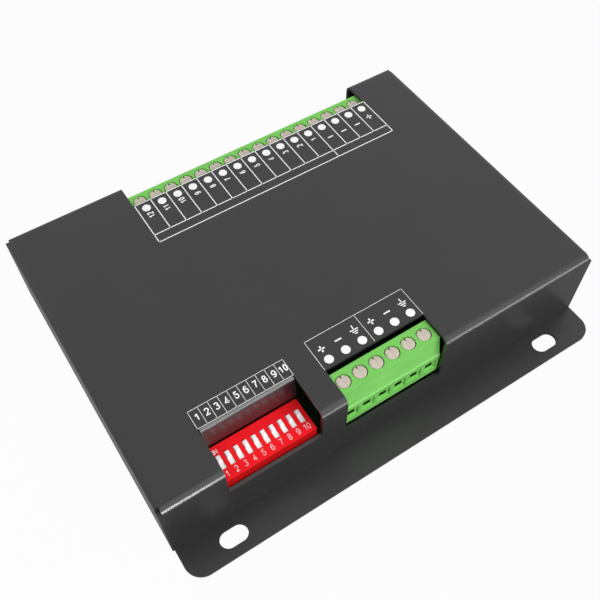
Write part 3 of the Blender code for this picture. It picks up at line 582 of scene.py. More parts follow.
def board_look():
    """Solder mask over copper: the tracks show as slightly lighter, raised bands."""
    nodes = Nodes("solder_mask")
    tracks = nodes.add("ShaderNodeTexBrick", Scale=1.0)
    tracks.inputs["Brick Width"].default_value = 0.011
    tracks.inputs["Row Height"].default_value = 0.0009
    tracks.inputs["Mortar Size"].default_value = 0.0002
    tracks.inputs["Mortar Smooth"].default_value = 0.4
    tracks.inputs["Color1"].default_value = (0.014, 0.052, 0.026, 1.0)
    tracks.inputs["Color2"].default_value = (0.012, 0.046, 0.023, 1.0)
    tracks.inputs["Mortar"].default_value = (0.009, 0.035, 0.017, 1.0)
    nodes.join(nodes.coordinates, "Object", tracks, "Vector")
    nodes.join(tracks, "Color", nodes.shader, "Base Color")
    nodes.bump(tracks, "Color", 0.3, 0.03)
    haze = nodes.noise(300.0, 2.0, 0.5)
    rough = nodes.spread(haze, "Fac", 0.3, 0.42)
    nodes.join(rough, "Result", nodes.shader, "Roughness")
    return nodes.material


def sleeve_look():
    """The capacitor's shrink sleeve: dark blue film with faint tension lines."""
    nodes = Nodes("shrink_sleeve")
    colour = (0.02, 0.05, 0.16)
    pull = nodes.noise(500.0, 2.0, 0.5, stretch=(1.0, 1.0, 0.1))
    ramp = nodes.ramp(pull, "Fac", [(0.3, near(colour, 0.85)), (0.7, near(colour, 1.15))])
    nodes.join(ramp, "Color", nodes.shader, "Base Color")
    rough = nodes.spread(pull, "Fac", 0.22, 0.35)
    nodes.join(rough, "Result", nodes.shader, "Roughness")
    nodes.bump(pull, "Fac", 0.08, 0.02)
    return nodes.material


COAT = coat_look()
GREEN = terminal_look()
RED = switch_look()
WHITE = slider_look()
EPOXY = epoxy_look()
PRINT = ink_look("white_print", (0.98, 0.98, 0.97))
MARKS = ink_look("switch_print", (0.9, 0.86, 0.86))
NICKEL = nickel_look()
ZINC = zinc_look()
BOARD = board_look()
SLEEVE = sleeve_look()


# Cover

def cover_section():
    """The cover seen along X, filled."""
    bend = (-HALF_DEPTH + BEND_RADIUS, COVER_TOP - BEND_RADIUS)
    edge = HALF_DEPTH + FLANGE_REACH
    half = [(-edge, 0.0), (-edge, SHEET), (-HALF_DEPTH, SHEET)]
    half += arc(bend, BEND_RADIUS, 180, 90, 16)
    return mirrored(half)


def hollow_section():
    """The room inside the cover, seen along X."""
    bend = (-HALF_DEPTH + BEND_RADIUS, COVER_TOP - BEND_RADIUS)
    half = [(-HALF_DEPTH, -BEYOND)]
    half += arc((-HALF_DEPTH, SHEET), SHEET, -90, 0, 10)
    half += arc(bend, BEND_RADIUS - SHEET, 180, 90, 10)
    return mirrored(half)


def end_section(inset, radius, below, steps):
    """The cover or its inside, seen along Y."""
    side = HALF_LENGTH - inset
    top = COVER_TOP - inset
    half = [(-side, -below)]
    half += arc((-side + radius, top - radius), radius, 180, 90, steps)
    return mirrored(half)


def flange_corner(across, along):
    """What is cut off one flange corner to leave it round."""
    x_edge = HALF_LENGTH if across > 0 else -HALF_LENGTH + FLANGE_SETBACK
    y_edge = (HALF_DEPTH + FLANGE_REACH) * along
    middle = (x_edge - across * FLANGE_CORNER, y_edge - along * FLANGE_CORNER)
    start = 0.0 if across > 0 else 180.0
    end = 90.0 if along > 0 else (270.0 if across < 0 else -90.0)
    outline = arc(middle, FLANGE_CORNER, start, end, 16)
    outline.append((middle[0], y_edge + along * BEYOND))
    outline.append((x_edge + across * BEYOND, y_edge + along * BEYOND))
    outline.append((x_edge + across * BEYOND, middle[1]))
    return outline


def make_cover():
    edge = HALF_DEPTH + FLANGE_REACH
    shape = bmesh.new()
    add_prism(shape, cover_section(), "X", -HALF_LENGTH - BEYOND, HALF_LENGTH + BEYOND)
    cover = add_object("cover_sheet", to_mesh("cover_sheet", shape))
    ends = bmesh.new()
    add_prism(ends, end_section(0.0, BEND_RADIUS, BEYOND, 16), "Y", -edge - BEYOND, edge + BEYOND)
    combine(cover, "ends", ends, "INTERSECT")
    inside = bmesh.new()
    add_prism(inside, hollow_section(), "X", -HALF_LENGTH - BEYOND, HALF_LENGTH + BEYOND)
    hollow = add_object("hollow", to_mesh("hollow", inside))
    inner = bmesh.new()
    section = end_section(SHEET, BEND_RADIUS - SHEET, BEYOND * 2, 10)
    add_prism(inner, section, "Y", -edge - BEYOND, edge + BEYOND)
    combine(hollow, "inner_ends", inner, "INTERSECT")
    use_tool(cover, hollow)
    cut_flanges(cover)
    cut_windows(cover)
    add_tongue(cover)
    cut_corners(cover)
    add_tabs(cover)
    soften(cover, SHEET_BEVEL, 3)
    dress(cover, COAT, "dimmer_body", "black_coat", "cover")


def cut_flanges(cover):
    edge = HALF_DEPTH + FLANGE_REACH
    shape = bmesh.new()
    for across in (-1, 1):
        for along in (-1, 1):
            add_prism(shape, flange_corner(across, along), "Z", -BEYOND, SHEET + BEYOND)
    combine(cover, "flange_corners", shape)
    shape = bmesh.new()
    for along in (-1, 1):
        low = (-HALF_LENGTH - BEYOND, HALF_DEPTH * along, -BEYOND)
        high = (-HALF_LENGTH + FLANGE_SETBACK, (edge + BEYOND) * along, SHEET * 2)
        add_span(shape, low, high)
    combine(cover, "flange_setback", shape)
    shape = bmesh.new()
    for across in (-1, 1):
        for along in (-1, 1):
            middle = (across * SLOT_SPAN / 2, along * (edge - SLOT_EDGE))
            add_prism(shape, stadium(middle, SLOT_LENGTH, SLOT_WIDTH), "Z", -BEYOND, SHEET + BEYOND)
    combine(cover, "flange_slots", shape)


def cut_windows(cover):
    shape = bmesh.new()
    top = COVER_TOP + BEYOND
    left, right, inner, low = REAR_NOTCH
    add_span(shape, (left, inner, low), (right, HALF_DEPTH + BEYOND, top))
    for left, right, inner, low in (FRONT_WINDOW, SWITCH_WINDOW):
        add_span(shape, (left, -HALF_DEPTH - BEYOND, low), (right, inner, top))
    combine(cover, "windows", shape)


def add_tongue(cover):
    """The strip folded down behind the switch."""
    left, right = SWITCH_WINDOW[:2]
    root = TONGUE_HIGH_Y + TONGUE_ROOT
    centre = (TONGUE_HIGH_Y, COVER_TOP - TONGUE_RADIUS)
    bend = arc(centre, TONGUE_RADIUS, 90, 180 - math.degrees(TONGUE_LEAN), 10)
    low = (TONGUE_LOW_Y, bend[-1][1] - TONGUE_LENGTH * math.cos(TONGUE_LEAN))
    back = (low[0] + SHEET * math.cos(TONGUE_LEAN), low[1] - SHEET * math.sin(TONGUE_LEAN))
    under = COVER_TOP - SHEET
    inner = (TONGUE_HIGH_Y + TONGUE_RADIUS - SHEET, under)
    section = [(root, COVER_TOP)] + bend + [low, back, inner, (root, under)]
    shape = bmesh.new()
    add_prism(shape, section, "X", left + GAP, right - GAP)
    combine(cover, "tongue", shape, "UNION")


def cut_corners(cover):
    shape = bmesh.new()
    for across in (-1, 1):
        for along in (-1, 1):
            near_corner = (
                across * (HALF_LENGTH - CORNER_RELIEF[0]),
                along * (HALF_DEPTH - CORNER_RELIEF[1]),
                COVER_TOP - BEND_RADIUS,
            )
            far = (
                across * (HALF_LENGTH + BEYOND),
                along * (HALF_DEPTH + BEYOND),
                COVER_TOP + BEYOND,
            )
            add_span(shape, near_corner, far)
    combine(cover, "corner_reliefs", shape)
    shape = bmesh.new()
    inside = HALF_DEPTH - SHEET
    for across in (-1, 1):
        low = (across * (HALF_LENGTH - SHEET * 1.5), -inside, -BEYOND)
        high = (across * (HALF_LENGTH + SHEET), inside, END_WALL_LIFT)
        add_span(shape, low, high)
    combine(cover, "end_wall_lift", shape)


def add_tabs(cover):
    low = SHEET + GAP
    inner = HALF_LENGTH - SHEET
    shape = bmesh.new()
    for across in (-1, 1):
        start = (across * (inner + SHEET / 2), -TAB_WIDTH / 2, low)
        end = (across * (inner - TAB_REACH), TAB_WIDTH / 2, low + SHEET)
        add_span(shape, start, end)
    combine(cover, "tabs", shape, "UNION")
    shape = bmesh.new()
    for across in (-1, 1):
        place = (across * (inner - COVER_SCREW_INSET), 0.0)
        add_cylinder(shape, place, low - BEYOND, low + SHEET + BEYOND, TAB_HOLE_RADIUS)
    combine(cover, "tab_holes", shape)


# Terminal blocks and their screws

def terminal_section(outward):
    """A terminal block seen along X. outward is the direction of its wire side."""
    points = [
        (-TERMINAL_BACK, BLOCK_UNDER),
        (TERMINAL_FACE, BLOCK_UNDER),
        (TERMINAL_FACE, BLOCK_TOP - SHOULDER_DROP),
        (TERMINAL_SHOULDER, BLOCK_TOP - SLOPE_DROP),
        (TERMINAL_TOP, BLOCK_TOP),
        (-TERMINAL_BACK, BLOCK_TOP),
    ]
    return [(across * outward, up) for across, up in points]


def make_block(name, node, poles, middle, screws_y, outward):
    half = poles * POLE_PITCH / 2 + END_CHEEK
    shape = bmesh.new()
    add_prism(shape, terminal_section(outward), "X", -half, half)
    bmesh.ops.translate(shape, vec=(middle, screws_y, 0.0), verts=shape.verts)
    block = add_object(name, to_mesh(name, shape))
    cuts = {kind: bmesh.new() for kind in ("cells", "holes", "wells", "recesses", "entries")}
    line = (screws_y, outward)
    roof = BLOCK_TOP - CELL_ROOF
    recess = BLOCK_TOP - RECESS_DROP
    entry = BLOCK_TOP - ENTRY_DROP
    shallow = TERMINAL_FACE - RECESS_DEPTH
    beyond = TERMINAL_FACE + 1
    over = BLOCK_TOP + 1
    for x in pole_places(poles, middle):
        spot = (x, screws_y)
        cell = (-CELL_BACK, CELL_FRONT, BLOCK_UNDER - 1, roof)
        add_across(cuts["cells"], x, CELL_WIDTH, line, *cell)
        add_cylinder(cuts["holes"], spot, roof - 1, over, SHANK_HOLE_RADIUS)
        add_cylinder(cuts["wells"], spot, BLOCK_TOP - WELL_DEPTH, over, WELL_RADIUS, SCREW_SIDES)
        hollow = (shallow, beyond, recess - RECESS_HEIGHT, recess)
        add_across(cuts["recesses"], x, RECESS_WIDTH, line, *hollow)
        mouth = (CELL_FRONT - 1, beyond, entry - ENTRY_HEIGHT, entry)
        add_across(cuts["entries"], x, ENTRY_WIDTH, line, *mouth)
    for kind, cut in cuts.items():
        combine(block, kind, cut)
    soften(block, BLOCK_BEVEL)
    dress(block, GREEN, "dimmer_body", "terminal_green", node)


def screw_profile():
    """Half the outline of a cheese-head screw, from the top of its axis to the bottom."""
    chamfer = 0.2
    neck = 1.0
    groove = 0.22
    turns = 8
    profile = [
        (0.0, SCREW_HEAD_HEIGHT),
        (SCREW_HEAD - chamfer, SCREW_HEAD_HEIGHT),
        (SCREW_HEAD, SCREW_HEAD_HEIGHT - chamfer),
        (SCREW_HEAD, 0.0),
        (SCREW_SHANK, 0.0),
    ]
    pitch = (SCREW_LENGTH - neck - chamfer) / turns
    for turn in range(turns):
        top = -neck - turn * pitch
        profile.append((SCREW_SHANK, top))
        profile.append((SCREW_SHANK - groove, top - pitch / 2))
    profile.append((SCREW_SHANK, -SCREW_LENGTH + chamfer))
    profile.append((SCREW_SHANK - chamfer, -SCREW_LENGTH))
    profile.append((0.0, -SCREW_LENGTH))
    return profile


def screw_mesh():
    """A terminal screw: origin on its axis at the underside of the head."""
    shape = bmesh.new()
    ring = [shape.verts.new((radius, 0.0, height)) for radius, height in screw_profile()]
    edges = [shape.edges.new(pair) for pair in zip(ring, ring[1:])]
    bmesh.ops.spin(
        shape,
        geom=ring + edges,
        cent=(0.0, 0.0, 0.0),
        axis=(0.0, 0.0, 1.0),
        angle=math.tau,
        steps=SCREW_SIDES,
        use_merge=True,
    )
    bmesh.ops.remove_doubles(shape, verts=shape.verts, dist=0.001)
    blank = add_object("terminal_screw", to_mesh("terminal_screw", shape))
    slot = bmesh.new()
    front, rear = SCREW_SLOT_DEPTHS
    outline = [
        (-SCREW_HEAD, SCREW_HEAD_HEIGHT - front),
        (SCREW_HEAD * 0.5, SCREW_HEAD_HEIGHT - front),
        (SCREW_HEAD, SCREW_HEAD_HEIGHT - rear),
        (SCREW_HEAD + 1, SCREW_HEAD_HEIGHT - rear),
        (SCREW_HEAD + 1, SCREW_HEAD_HEIGHT + 1),
        (-SCREW_HEAD - 1, SCREW_HEAD_HEIGHT + 1),
        (-SCREW_HEAD - 1, SCREW_HEAD_HEIGHT - front),
    ]
    add_prism(slot, outline, "X", -SCREW_SLOT_WIDTH / 2, SCREW_SLOT_WIDTH / 2)
    combine(blank, "screw_slot", slot)
    soften(blank, SCREW_BEVEL)
    blank.data.materials.append(NICKEL)
    mesh = blank.data
    bpy.data.objects.remove(blank, do_unlink=True)
    return mesh


def make_terminal_screws():
    mesh = screw_mesh()
    base = BLOCK_TOP - WELL_DEPTH + GAP
    for index, x in enumerate(pole_places(REAR_POLES, REAR_BLOCK_X), 1):
        place_screw(mesh, f"rear_terminal_screw_{index:02d}", (x, REAR_SCREWS_Y, base))
    for index, x in enumerate(pole_places(FRONT_POLES, FRONT_BLOCK_X), 1):
        place_screw(mesh, f"front_terminal_screw_{index}", (x, FRONT_SCREWS_Y, base))


def place_screw(mesh, node, place):
    screw = add_object("fine_" + node, mesh, place)
    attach(screw, node)
    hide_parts(node)


# Address switch

def switch_places():
    first = SWITCH_X - (SWITCHES - 1) / 2 * SWITCH_PITCH
    return [first + index * SWITCH_PITCH for index in range(SWITCHES)]


def make_switch():
    half = SWITCH_LENGTH / 2
    depth = SWITCH_DEPTH / 2
    shape = bmesh.new()
    low = (SWITCH_X - half, SWITCH_Y - depth, BLOCK_UNDER)
    high = (SWITCH_X + half, SWITCH_Y + depth, SWITCH_TOP)
    add_span(shape, low, high)
    case = add_object("switch_case", to_mesh("switch_case", shape))
    inside = bmesh.new()
    low = (SWITCH_X - half + SWITCH_WALL, SWITCH_Y - depth + SWITCH_WALL, SWITCH_HOLLOW)
    high = (SWITCH_X + half - SWITCH_WALL, SWITCH_Y + depth - SWITCH_WALL, SWITCH_TOP - SWITCH_ROOF)
    add_span(inside, low, high)
    combine(case, "hollow", inside)
    windows = bmesh.new()
    for x in switch_places():
        low = (x - WINDOW_WIDTH / 2, WINDOW_Y - WINDOW_LENGTH / 2, SWITCH_TOP - SWITCH_ROOF * 2)
        high = (x + WINDOW_WIDTH / 2, WINDOW_Y + WINDOW_LENGTH / 2, SWITCH_TOP + 1)
        add_span(windows, low, high)
    combine(case, "windows", windows)
    soften(case, SWITCH_BEVEL)
    dress(case, RED, "dimmer_body", "switch_red", "address_switch_housing")


def knob_profile():
    """The knob from the side: upright at the rear, flat on top, rounded down to the front."""
    half = KNOB_LENGTH / 2
    root = -DECK_DROP - 0.1
    crest = -half * 0.35
    fall = (KNOB_PROUD + DECK_DROP) * 0.6
    profile = [(half, root), (half, KNOB_PROUD), (crest, KNOB_PROUD)]
    steps = 8
    for step in range(1, steps + 1):
        share = step / steps
        y = crest - share * (half + crest)
        profile.append((y, KNOB_PROUD - (1 - math.sqrt(1 - share * share)) * fall))
    profile.append((-half, root))
    return profile


def slider_mesh():
    """A slider at its origin, the middle of the knob at the level of the roof."""
    half_window = WINDOW_LENGTH / 2
    spare = WINDOW_LENGTH - KNOB_TRAVEL - KNOB_LENGTH
    knob_y = WINDOW_Y + half_window - spare / 2 - KNOB_LENGTH / 2
    front = WINDOW_Y - half_window - SLIDER_LAP - knob_y
    rear = WINDOW_Y + half_window + SLIDER_LAP + KNOB_TRAVEL - knob_y
    low = SWITCH_HOLLOW + GAP - SWITCH_TOP
    shape = bmesh.new()
    outline = [(front, low), (rear, low), (rear, -DECK_DROP), (front, -DECK_DROP)]
    add_prism(shape, outline, "X", -SLIDER_WIDTH / 2, SLIDER_WIDTH / 2)
    blank = add_object("slider", to_mesh("slider", shape))
    knob = bmesh.new()
    add_prism(knob, knob_profile(), "X", -KNOB_WIDTH / 2, KNOB_WIDTH / 2)
    combine(blank, "knob", knob, "UNION")
    soften(blank, SLIDER_BEVEL)
    blank.data.materials.append(WHITE)
    mesh = blank.data
    bpy.data.objects.remove(blank, do_unlink=True)
    return mesh, knob_y


def make_sliders():
    mesh, knob_y = slider_mesh()
    for index, x in enumerate(switch_places(), 1):
        node = f"address_slider_{index:02d}"
        slider = add_object("fine_" + node, mesh, (x, knob_y, SWITCH_TOP))
        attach(slider, node)
        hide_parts(node)


# Print

def add_line(shape, start, end, level, width=PRINT_LINE):
    """A printed line along X or Y."""
    half = width / 2
    low = (min(start[0], end[0]) - half, min(start[1], end[1]) - half, level)
    high = (max(start[0], end[0]) + half, max(start[1], end[1]) + half, level + PRINT_THICK)
    add_span(shape, low, high)


def add_dot(shape, place, level):
    add_cylinder(shape, place, level, level + PRINT_THICK, DOT_RADIUS, 48)


def add_sign(shape, place, reach, plus, level):
    """A minus sign, or a plus sign."""
    x, y = place
    add_line(shape, (x - reach, y), (x + reach, y), level, SIGN_STROKE)
    if plus:
        add_line(shape, (x, y - reach), (x, y + reach), level, SIGN_STROKE)


def add_earth_sign(shape, place, level):
    """A stem down from a place, over three bars that get shorter."""
    x, top = place
    add_line(shape, (x, top - 1.2), (x, top), level, EARTH_STROKE)
    for row, reach in enumerate((1.1, 0.7, 0.3)):
        y = top - 1.3 - row * 0.6
        add_line(shape, (x - reach, y), (x + reach, y), level, EARTH_STROKE)


def bow(middle, reach, start, end, steps=14):
    """Points on part of an ellipse, with angles in degrees."""
    points = []
    for step in range(steps + 1):
        turn = math.radians(start + (end - start) * step / steps)
        points.append((middle[0] + reach[0] * math.cos(turn), middle[1] + reach[1] * math.sin(turn)))
    return points


def digit_strokes():
    """The strokes of each character in a box one wide and one high."""
    six = [
        bow((0.5, 0.32), (0.5, 0.32), 0, 360, 24),
        bow((0.58, 0.5), (0.58, 0.5), 50, 195),
    ]
    return {
        "0": [bow((0.5, 0.5), (0.5, 0.5), 0, 360, 28)],
        "1": [[(0.62, 0.0), (0.62, 1.0)], [(0.62, 0.96), (0.1, 0.68)]],
        "2": [bow((0.5, 0.71), (0.5, 0.29), 170, -25) + [(0.0, 0.0), (1.05, 0.0)]],
        "3": [
            bow((0.46, 0.76), (0.46, 0.24), 160, -90),
            bow((0.46, 0.27), (0.54, 0.27), 90, -160),
        ],
        "4": [[(0.72, 0.0), (0.72, 1.0), (0.0, 0.26), (1.08, 0.26)]],
        "5": [[(0.95, 1.0), (0.2, 1.0), (0.07, 0.5)] + bow((0.48, 0.32), (0.52, 0.32), 130, -160)],
        "6": six,
        "7": [[(0.0, 1.0), (1.0, 1.0), (0.6, 0.5), (0.38, 0.0)]],
        "8": [
            bow((0.5, 0.76), (0.42, 0.24), 0, 360, 22),
            bow((0.5, 0.27), (0.5, 0.27), 0, 360, 24),
        ],
        "9": [[(1 - across, 1 - up) for across, up in stroke] for stroke in six],
        "O": [bow((0.55, 0.5), (0.65, 0.5), 0, 360, 28)],
        "N": [[(0.0, 0.0), (0.0, 1.0), (1.0, 0.0), (1.0, 1.0)]],
    }


def add_ribbon(shape, points, width, level):
    """A raised band of even width along a line of points, with mitred corners."""
    closed = math.dist(points[0], points[-1]) < 0.001
    steps = [Vector(after) - Vector(before) for before, after in zip(points, points[1:])]
    sides = [Vector((-step.y, step.x)).normalized() for step in steps]
    rows = []
    for index, place in enumerate(points):
        last = sides[-1] if closed else sides[0]
        first = sides[0] if closed else sides[-1]
        before = sides[index - 1] if index > 0 else last
        after = sides[index] if index < len(sides) else first
        corner = (before + after).normalized()
        reach = corner * (width / 2 / max(0.45, corner.dot(after)))
        row = []
        for sign, height in ((1, 0.0), (1, PRINT_THICK), (-1, PRINT_THICK), (-1, 0.0)):
            spot = (place[0] + sign * reach.x, place[1] + sign * reach.y, level + height)
            row.append(shape.verts.new(spot))
        rows.append(row)
    for near_row, far_row in zip(rows, rows[1:]):
        for index in range(4):
            after = (index + 1) % 4
            shape.faces.new((near_row[index], near_row[after], far_row[after], far_row[index]))
    if not closed:
        shape.faces.new(rows[0])
        shape.faces.new(list(reversed(rows[-1])))


def add_words(shape, words, height, place, level, turn=0.0, stroke=0.3, wide=0.6):
    """Plain characters, centred on a place and turned by a number of degrees.

    stroke is how wide their lines are, wide their width as a share of the height.
    """
    tall = height - stroke
    broad = height * wide - stroke
    space = stroke * 0.6
    advance = height * wide + space
    start = -(len(words) - 1) / 2 * advance - broad / 2
    angle = math.radians(turn)
    raised = 0.0
    for position, character in enumerate(words):
        for line in STROKES[character]:
            points = []
            for across, up in line:
                x = start + position * advance + across * broad
                y = (up - 0.5) * tall
                points.append((
                    place[0] + x * math.cos(angle) - y * math.sin(angle),
                    place[1] + x * math.sin(angle) + y * math.cos(angle),
                ))
            add_ribbon(shape, points, stroke, level + raised)
            raised += PRINT_LAYER


STROKES = digit_strokes()


def finish_print(name, shape, ink):
    bmesh.ops.remove_doubles(shape, verts=shape.verts, dist=0.0005)
    piece = add_object(name, to_mesh(name, shape))
    dress(piece, ink, "dimmer_body", None)


def make_print():
    """The white tables on the cover, over the pieces that they belong to."""
    shape = bmesh.new()
    rear_table(shape, COVER_TOP)
    front_table(shape, COVER_TOP)
    switch_table(shape, COVER_TOP)
    finish_print("cover_print", shape, PRINT)


def rear_table(shape, level):
    """Sixteen columns: the twelve outputs, three minus poles and the plus pole."""
    left, top, inner, bottom = -31.1, 38.05, 25.3, 22.3
    dots_y, numbers_y, minus_y, plus_y = 35.6, 32.6, 30.6, 31.4
    reach = 0.75
    right = left + POLE_PITCH * REAR_POLES
    outputs = REAR_POLES - 4
    for y in (top, inner, bottom):
        add_line(shape, (left, y), (right, y), level)
    for index in range(REAR_POLES + 1):
        x = left + POLE_PITCH * index
        low = bottom if index in (0, outputs, REAR_POLES) else inner
        add_line(shape, (x, low), (x, top), level)
    for index in range(REAR_POLES):
        x = left + POLE_PITCH * (index + 0.5)
        print_x = x + 0.1
        add_dot(shape, (print_x, dots_y), level)
        if index < outputs:
            number = str(outputs - index)
            place = (print_x, numbers_y)
            add_words(shape, number, 1.95, place, level, turn=90, stroke=0.31, wide=0.5)
        elif index < REAR_POLES - 1:
            add_sign(shape, (x, minus_y), reach, False, level)
        else:
            add_sign(shape, (x, plus_y), reach, True, level)


def front_table(shape, level):
    """Two groups of three columns: plus, minus and earth."""
    left, middle, right, top, edge = -15.07, 0.45, 15.98, -27.4, -36.9
    first, pitch = -12.42, 5.17
    dots_y, signs_y, earth_top = -34.9, -31.4, -29.8
    add_line(shape, (left, top), (right, top), level, FINE_LINE)
    for x in (left, middle, right):
        add_line(shape, (x, edge), (x, top), level, FINE_LINE)
    for index in range(FRONT_POLES):
        x = first + pitch * index
        add_dot(shape, (x, dots_y), level)
        column = index % 3
        if column == 2:
            add_earth_sign(shape, (x, earth_top), level)
        else:
            add_sign(shape, (x, signs_y), 0.8, column == 0, level)


def switch_table(shape, level):
    """Ten columns with the switches' numbers."""
    left, top, bottom = -49.63, -28.5, -33.78
    pitch = 2.724
    numbers_y = -30.87
    right = left + pitch * SWITCHES
    for y in (top, bottom):
        add_line(shape, (left, y), (right, y), level, FINE_LINE)
    for index in range(SWITCHES + 1):
        x = left + pitch * index
        add_line(shape, (x, bottom), (x, top), level, FINE_LINE)
    for index in range(SWITCHES):
        number = str(index + 1)
        place = (left + pitch * (index + 0.5) + 0.12, numbers_y)
        wide = 0.6 if len(number) == 1 else 0.52
        add_words(shape, number, 2.1, place, level, stroke=0.33, wide=wide)


def make_marks():
    """Digits and ON on the switch."""
    shape = bmesh.new()
    for index, x in enumerate(switch_places(), 1):
        add_words(shape, str(index), 1.75, (x, -44.35), SWITCH_TOP, stroke=0.14, wide=0.5)
    add_words(shape, "ON", 1.45, (-48.3, -37.8), SWITCH_TOP, stroke=0.2, wide=0.6)
    finish_print("switch_marks", shape, MARKS)


# Inner pieces keep their CAD shape

def dress_nodes():
    looks = {
        "base_plate": ZINC,
        "circuit_board": BOARD,
        "filter_capacitor": SLEEVE,
        "microcontroller": EPOXY,
        "bus_transceiver": EPOXY,
        "voltage_regulator": EPOXY,
        "board_screw": ZINC,
        "cover_screw": ZINC,
        "output_transistor": EPOXY,
    }
    for name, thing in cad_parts.items():
        for start, look in looks.items():
            if name.startswith(start):
                for place in thing.material_slots:
                    place.material = look


# Stage, light and camera

def ground_look(name, grey, shine):
    """White to the camera, and clear from below.

    grey is its colour in the light, shine the share of white that metal and glass see.
    """
    nodes = Nodes(name)
    nodes.tree.nodes.remove(nodes.shader)
    paper = nodes.add("ShaderNodeBsdfDiffuse", Color=(grey, grey, grey, 1.0))
    glow = nodes.add("ShaderNodeEmission", Strength=1.0)
    rays = nodes.add("ShaderNodeLightPath").outputs
    mirrored_rays = nodes.maths("ADD", rays["Is Glossy Ray"], rays["Is Transmission Ray"])
    dimmed = nodes.maths("MULTIPLY", mirrored_rays, shine)
    direct = nodes.maths("MULTIPLY", rays["Is Camera Ray"], GROUND_WHITE)
    above = nodes.add("ShaderNodeMixShader")
    nodes.tree.links.new(nodes.maths("ADD", direct, dimmed), above.inputs["Fac"])
    nodes.join(paper, "BSDF", above, 1)
    nodes.join(glow, "Emission", above, 2)
    clear = nodes.add("ShaderNodeBsdfTransparent")
    side = nodes.add("ShaderNodeNewGeometry")
    sheet = nodes.add("ShaderNodeMixShader")
    nodes.join(side, "Backfacing", sheet, "Fac")
    nodes.join(above, "Shader", sheet, 1)
    nodes.join(clear, "BSDF", sheet, 2)
    nodes.join(sheet, "Shader", nodes.tree.nodes["Material Output"], "Surface")
    return nodes.material


def make_ground(name, left, right, depth, level, grey, shine):
    """A flat sheet on the ground that faces up."""
    shape = bmesh.new()
    corners = [(left, -depth), (right, -depth), (right, depth), (left, depth)]
    shape.faces.new([shape.verts.new((x, y, 0.0)) for x, y in corners])
    sheet = add_object(name, to_mesh(name, shape), (0.0, 0.0, level))
    sheet.data.materials.append(ground_look(name, grey, shine))


def make_world():
    """White to the camera and in reflections, and dimmer as light."""
    world = bpy.data.worlds.new("studio")
    bpy.context.scene.world = world
    world.use_nodes = True
    tree = world.node_tree
    back = tree.nodes["Background"]
    back.inputs["Color"].default_value = (1.0, 1.0, 1.0, 1.0)
    path = tree.nodes.new("ShaderNodeLightPath")
    either = tree.nodes.new("ShaderNodeMath")
    either.operation = "MAXIMUM"
    strength = tree.nodes.new("ShaderNodeMapRange")
    strength.inputs["To Min"].default_value = AMBIENT
    strength.inputs["To Max"].default_value = 1.0
    tree.links.new(path.outputs["Is Camera Ray"], either.inputs[0])
    tree.links.new(path.outputs["Is Glossy Ray"], either.inputs[1])
    tree.links.new(either.outputs["Value"], strength.inputs["Value"])
    tree.links.new(strength.outputs["Result"], back.inputs["Strength"])


def add_panel(name, place, aim, size, radiance):
    """A rectangular lamp at a place, facing another. Places and sizes are in millimetres."""
    lamp = bpy.data.lights.new(name, "AREA")
    lamp.shape = "RECTANGLE"
    lamp.size, lamp.size_y = [side * MM for side in size]
    lamp.energy = radiance * math.pi * lamp.size * lamp.size_y
    thing = bpy.data.objects.new(name, lamp)
    bpy.context.scene.collection.objects.link(thing)
    facing = (Vector(aim) - Vector(place)).to_track_quat("-Z", "Y").to_matrix().to_4x4()
    thing.matrix_world = Matrix.Translation(Vector(place) * MM) @ facing
    return thing


def add_softbox():
    """The main light, high in front: one panel lights the colours, one is only mirrored."""
    middle = (0.0, 0.0, 0.0)
    light = add_panel("softbox", SOFTBOX_PLACE, middle, SOFTBOX_SIZE, SOFTBOX_RADIANCE)
    light.visible_glossy = False
    sheen = add_panel("sheen", SOFTBOX_PLACE, middle, SOFTBOX_SIZE, SHEEN_RADIANCE)
    sheen.visible_diffuse = False


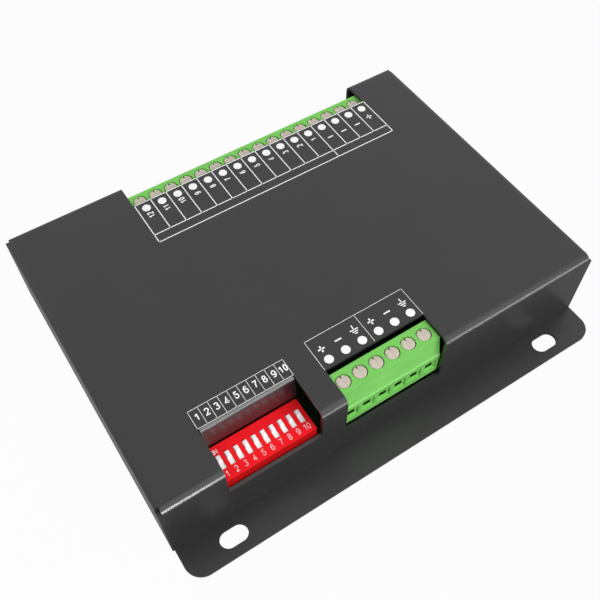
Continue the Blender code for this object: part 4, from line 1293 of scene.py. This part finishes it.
def add_strip(name, left, right, radiance):
    """A low strip in front, under the level of the top, that only the folded edge mirrors."""
    across = (left + right) / 2
    place = (across, STRIP_Y, COVER_TOP / 2)
    aim = (across, 0.0, COVER_TOP / 2)
    panel = add_panel(name, place, aim, (right - left, COVER_TOP - 2.0), radiance)
    panel.visible_diffuse = False
    panel.visible_camera = False


def make_camera():
    """The photograph's view: place, direction and lens solved from it."""
    back = Vector((
        math.cos(CAMERA_ELEVATION) * math.cos(CAMERA_AZIMUTH),
        math.cos(CAMERA_ELEVATION) * math.sin(CAMERA_AZIMUTH),
        math.sin(CAMERA_ELEVATION),
    ))
    right = (-back).cross(Vector((0.0, 0.0, 1.0))).normalized()
    up = right.cross(-back)
    turned_right = right * math.cos(CAMERA_ROLL) + up * math.sin(CAMERA_ROLL)
    turned_up = up * math.cos(CAMERA_ROLL) - right * math.sin(CAMERA_ROLL)
    data = bpy.data.cameras.new("camera")
    data.lens = CAMERA_LENS
    data.sensor_width = 36.0
    data.sensor_fit = "HORIZONTAL"
    data.clip_start = 0.01
    data.clip_end = 20.0
    camera = bpy.data.objects.new("camera", data)
    bpy.context.scene.collection.objects.link(camera)
    turn = Matrix((turned_right, turned_up, back)).transposed().to_4x4()
    camera.matrix_world = Matrix.Translation(Vector(CAMERA_PLACE) * MM) @ turn
    bpy.context.scene.camera = camera


make_cover()
make_block("rear_block", "rear_terminal_housing", REAR_POLES, REAR_BLOCK_X, REAR_SCREWS_Y, 1)
make_block("front_block", "front_terminal_housing", FRONT_POLES, FRONT_BLOCK_X, FRONT_SCREWS_Y, -1)
make_terminal_screws()
make_switch()
make_sliders()
make_print()
make_marks()
dress_nodes()
make_ground("floor", -3000.0, 3000.0, depth=3000.0, level=-0.04, grey=0.22, shine=0.1)
card_edge = -HALF_LENGTH - 0.5
make_ground("side_card", -900.0, card_edge, depth=900.0, level=-0.02, grey=0.35, shine=0.35)
make_world()
add_softbox()
add_strip("left_strip", *LEFT_STRIP)
add_strip("right_strip", *RIGHT_STRIP)
make_camera()

bpy.context.scene.view_settings.view_transform = "Standard"
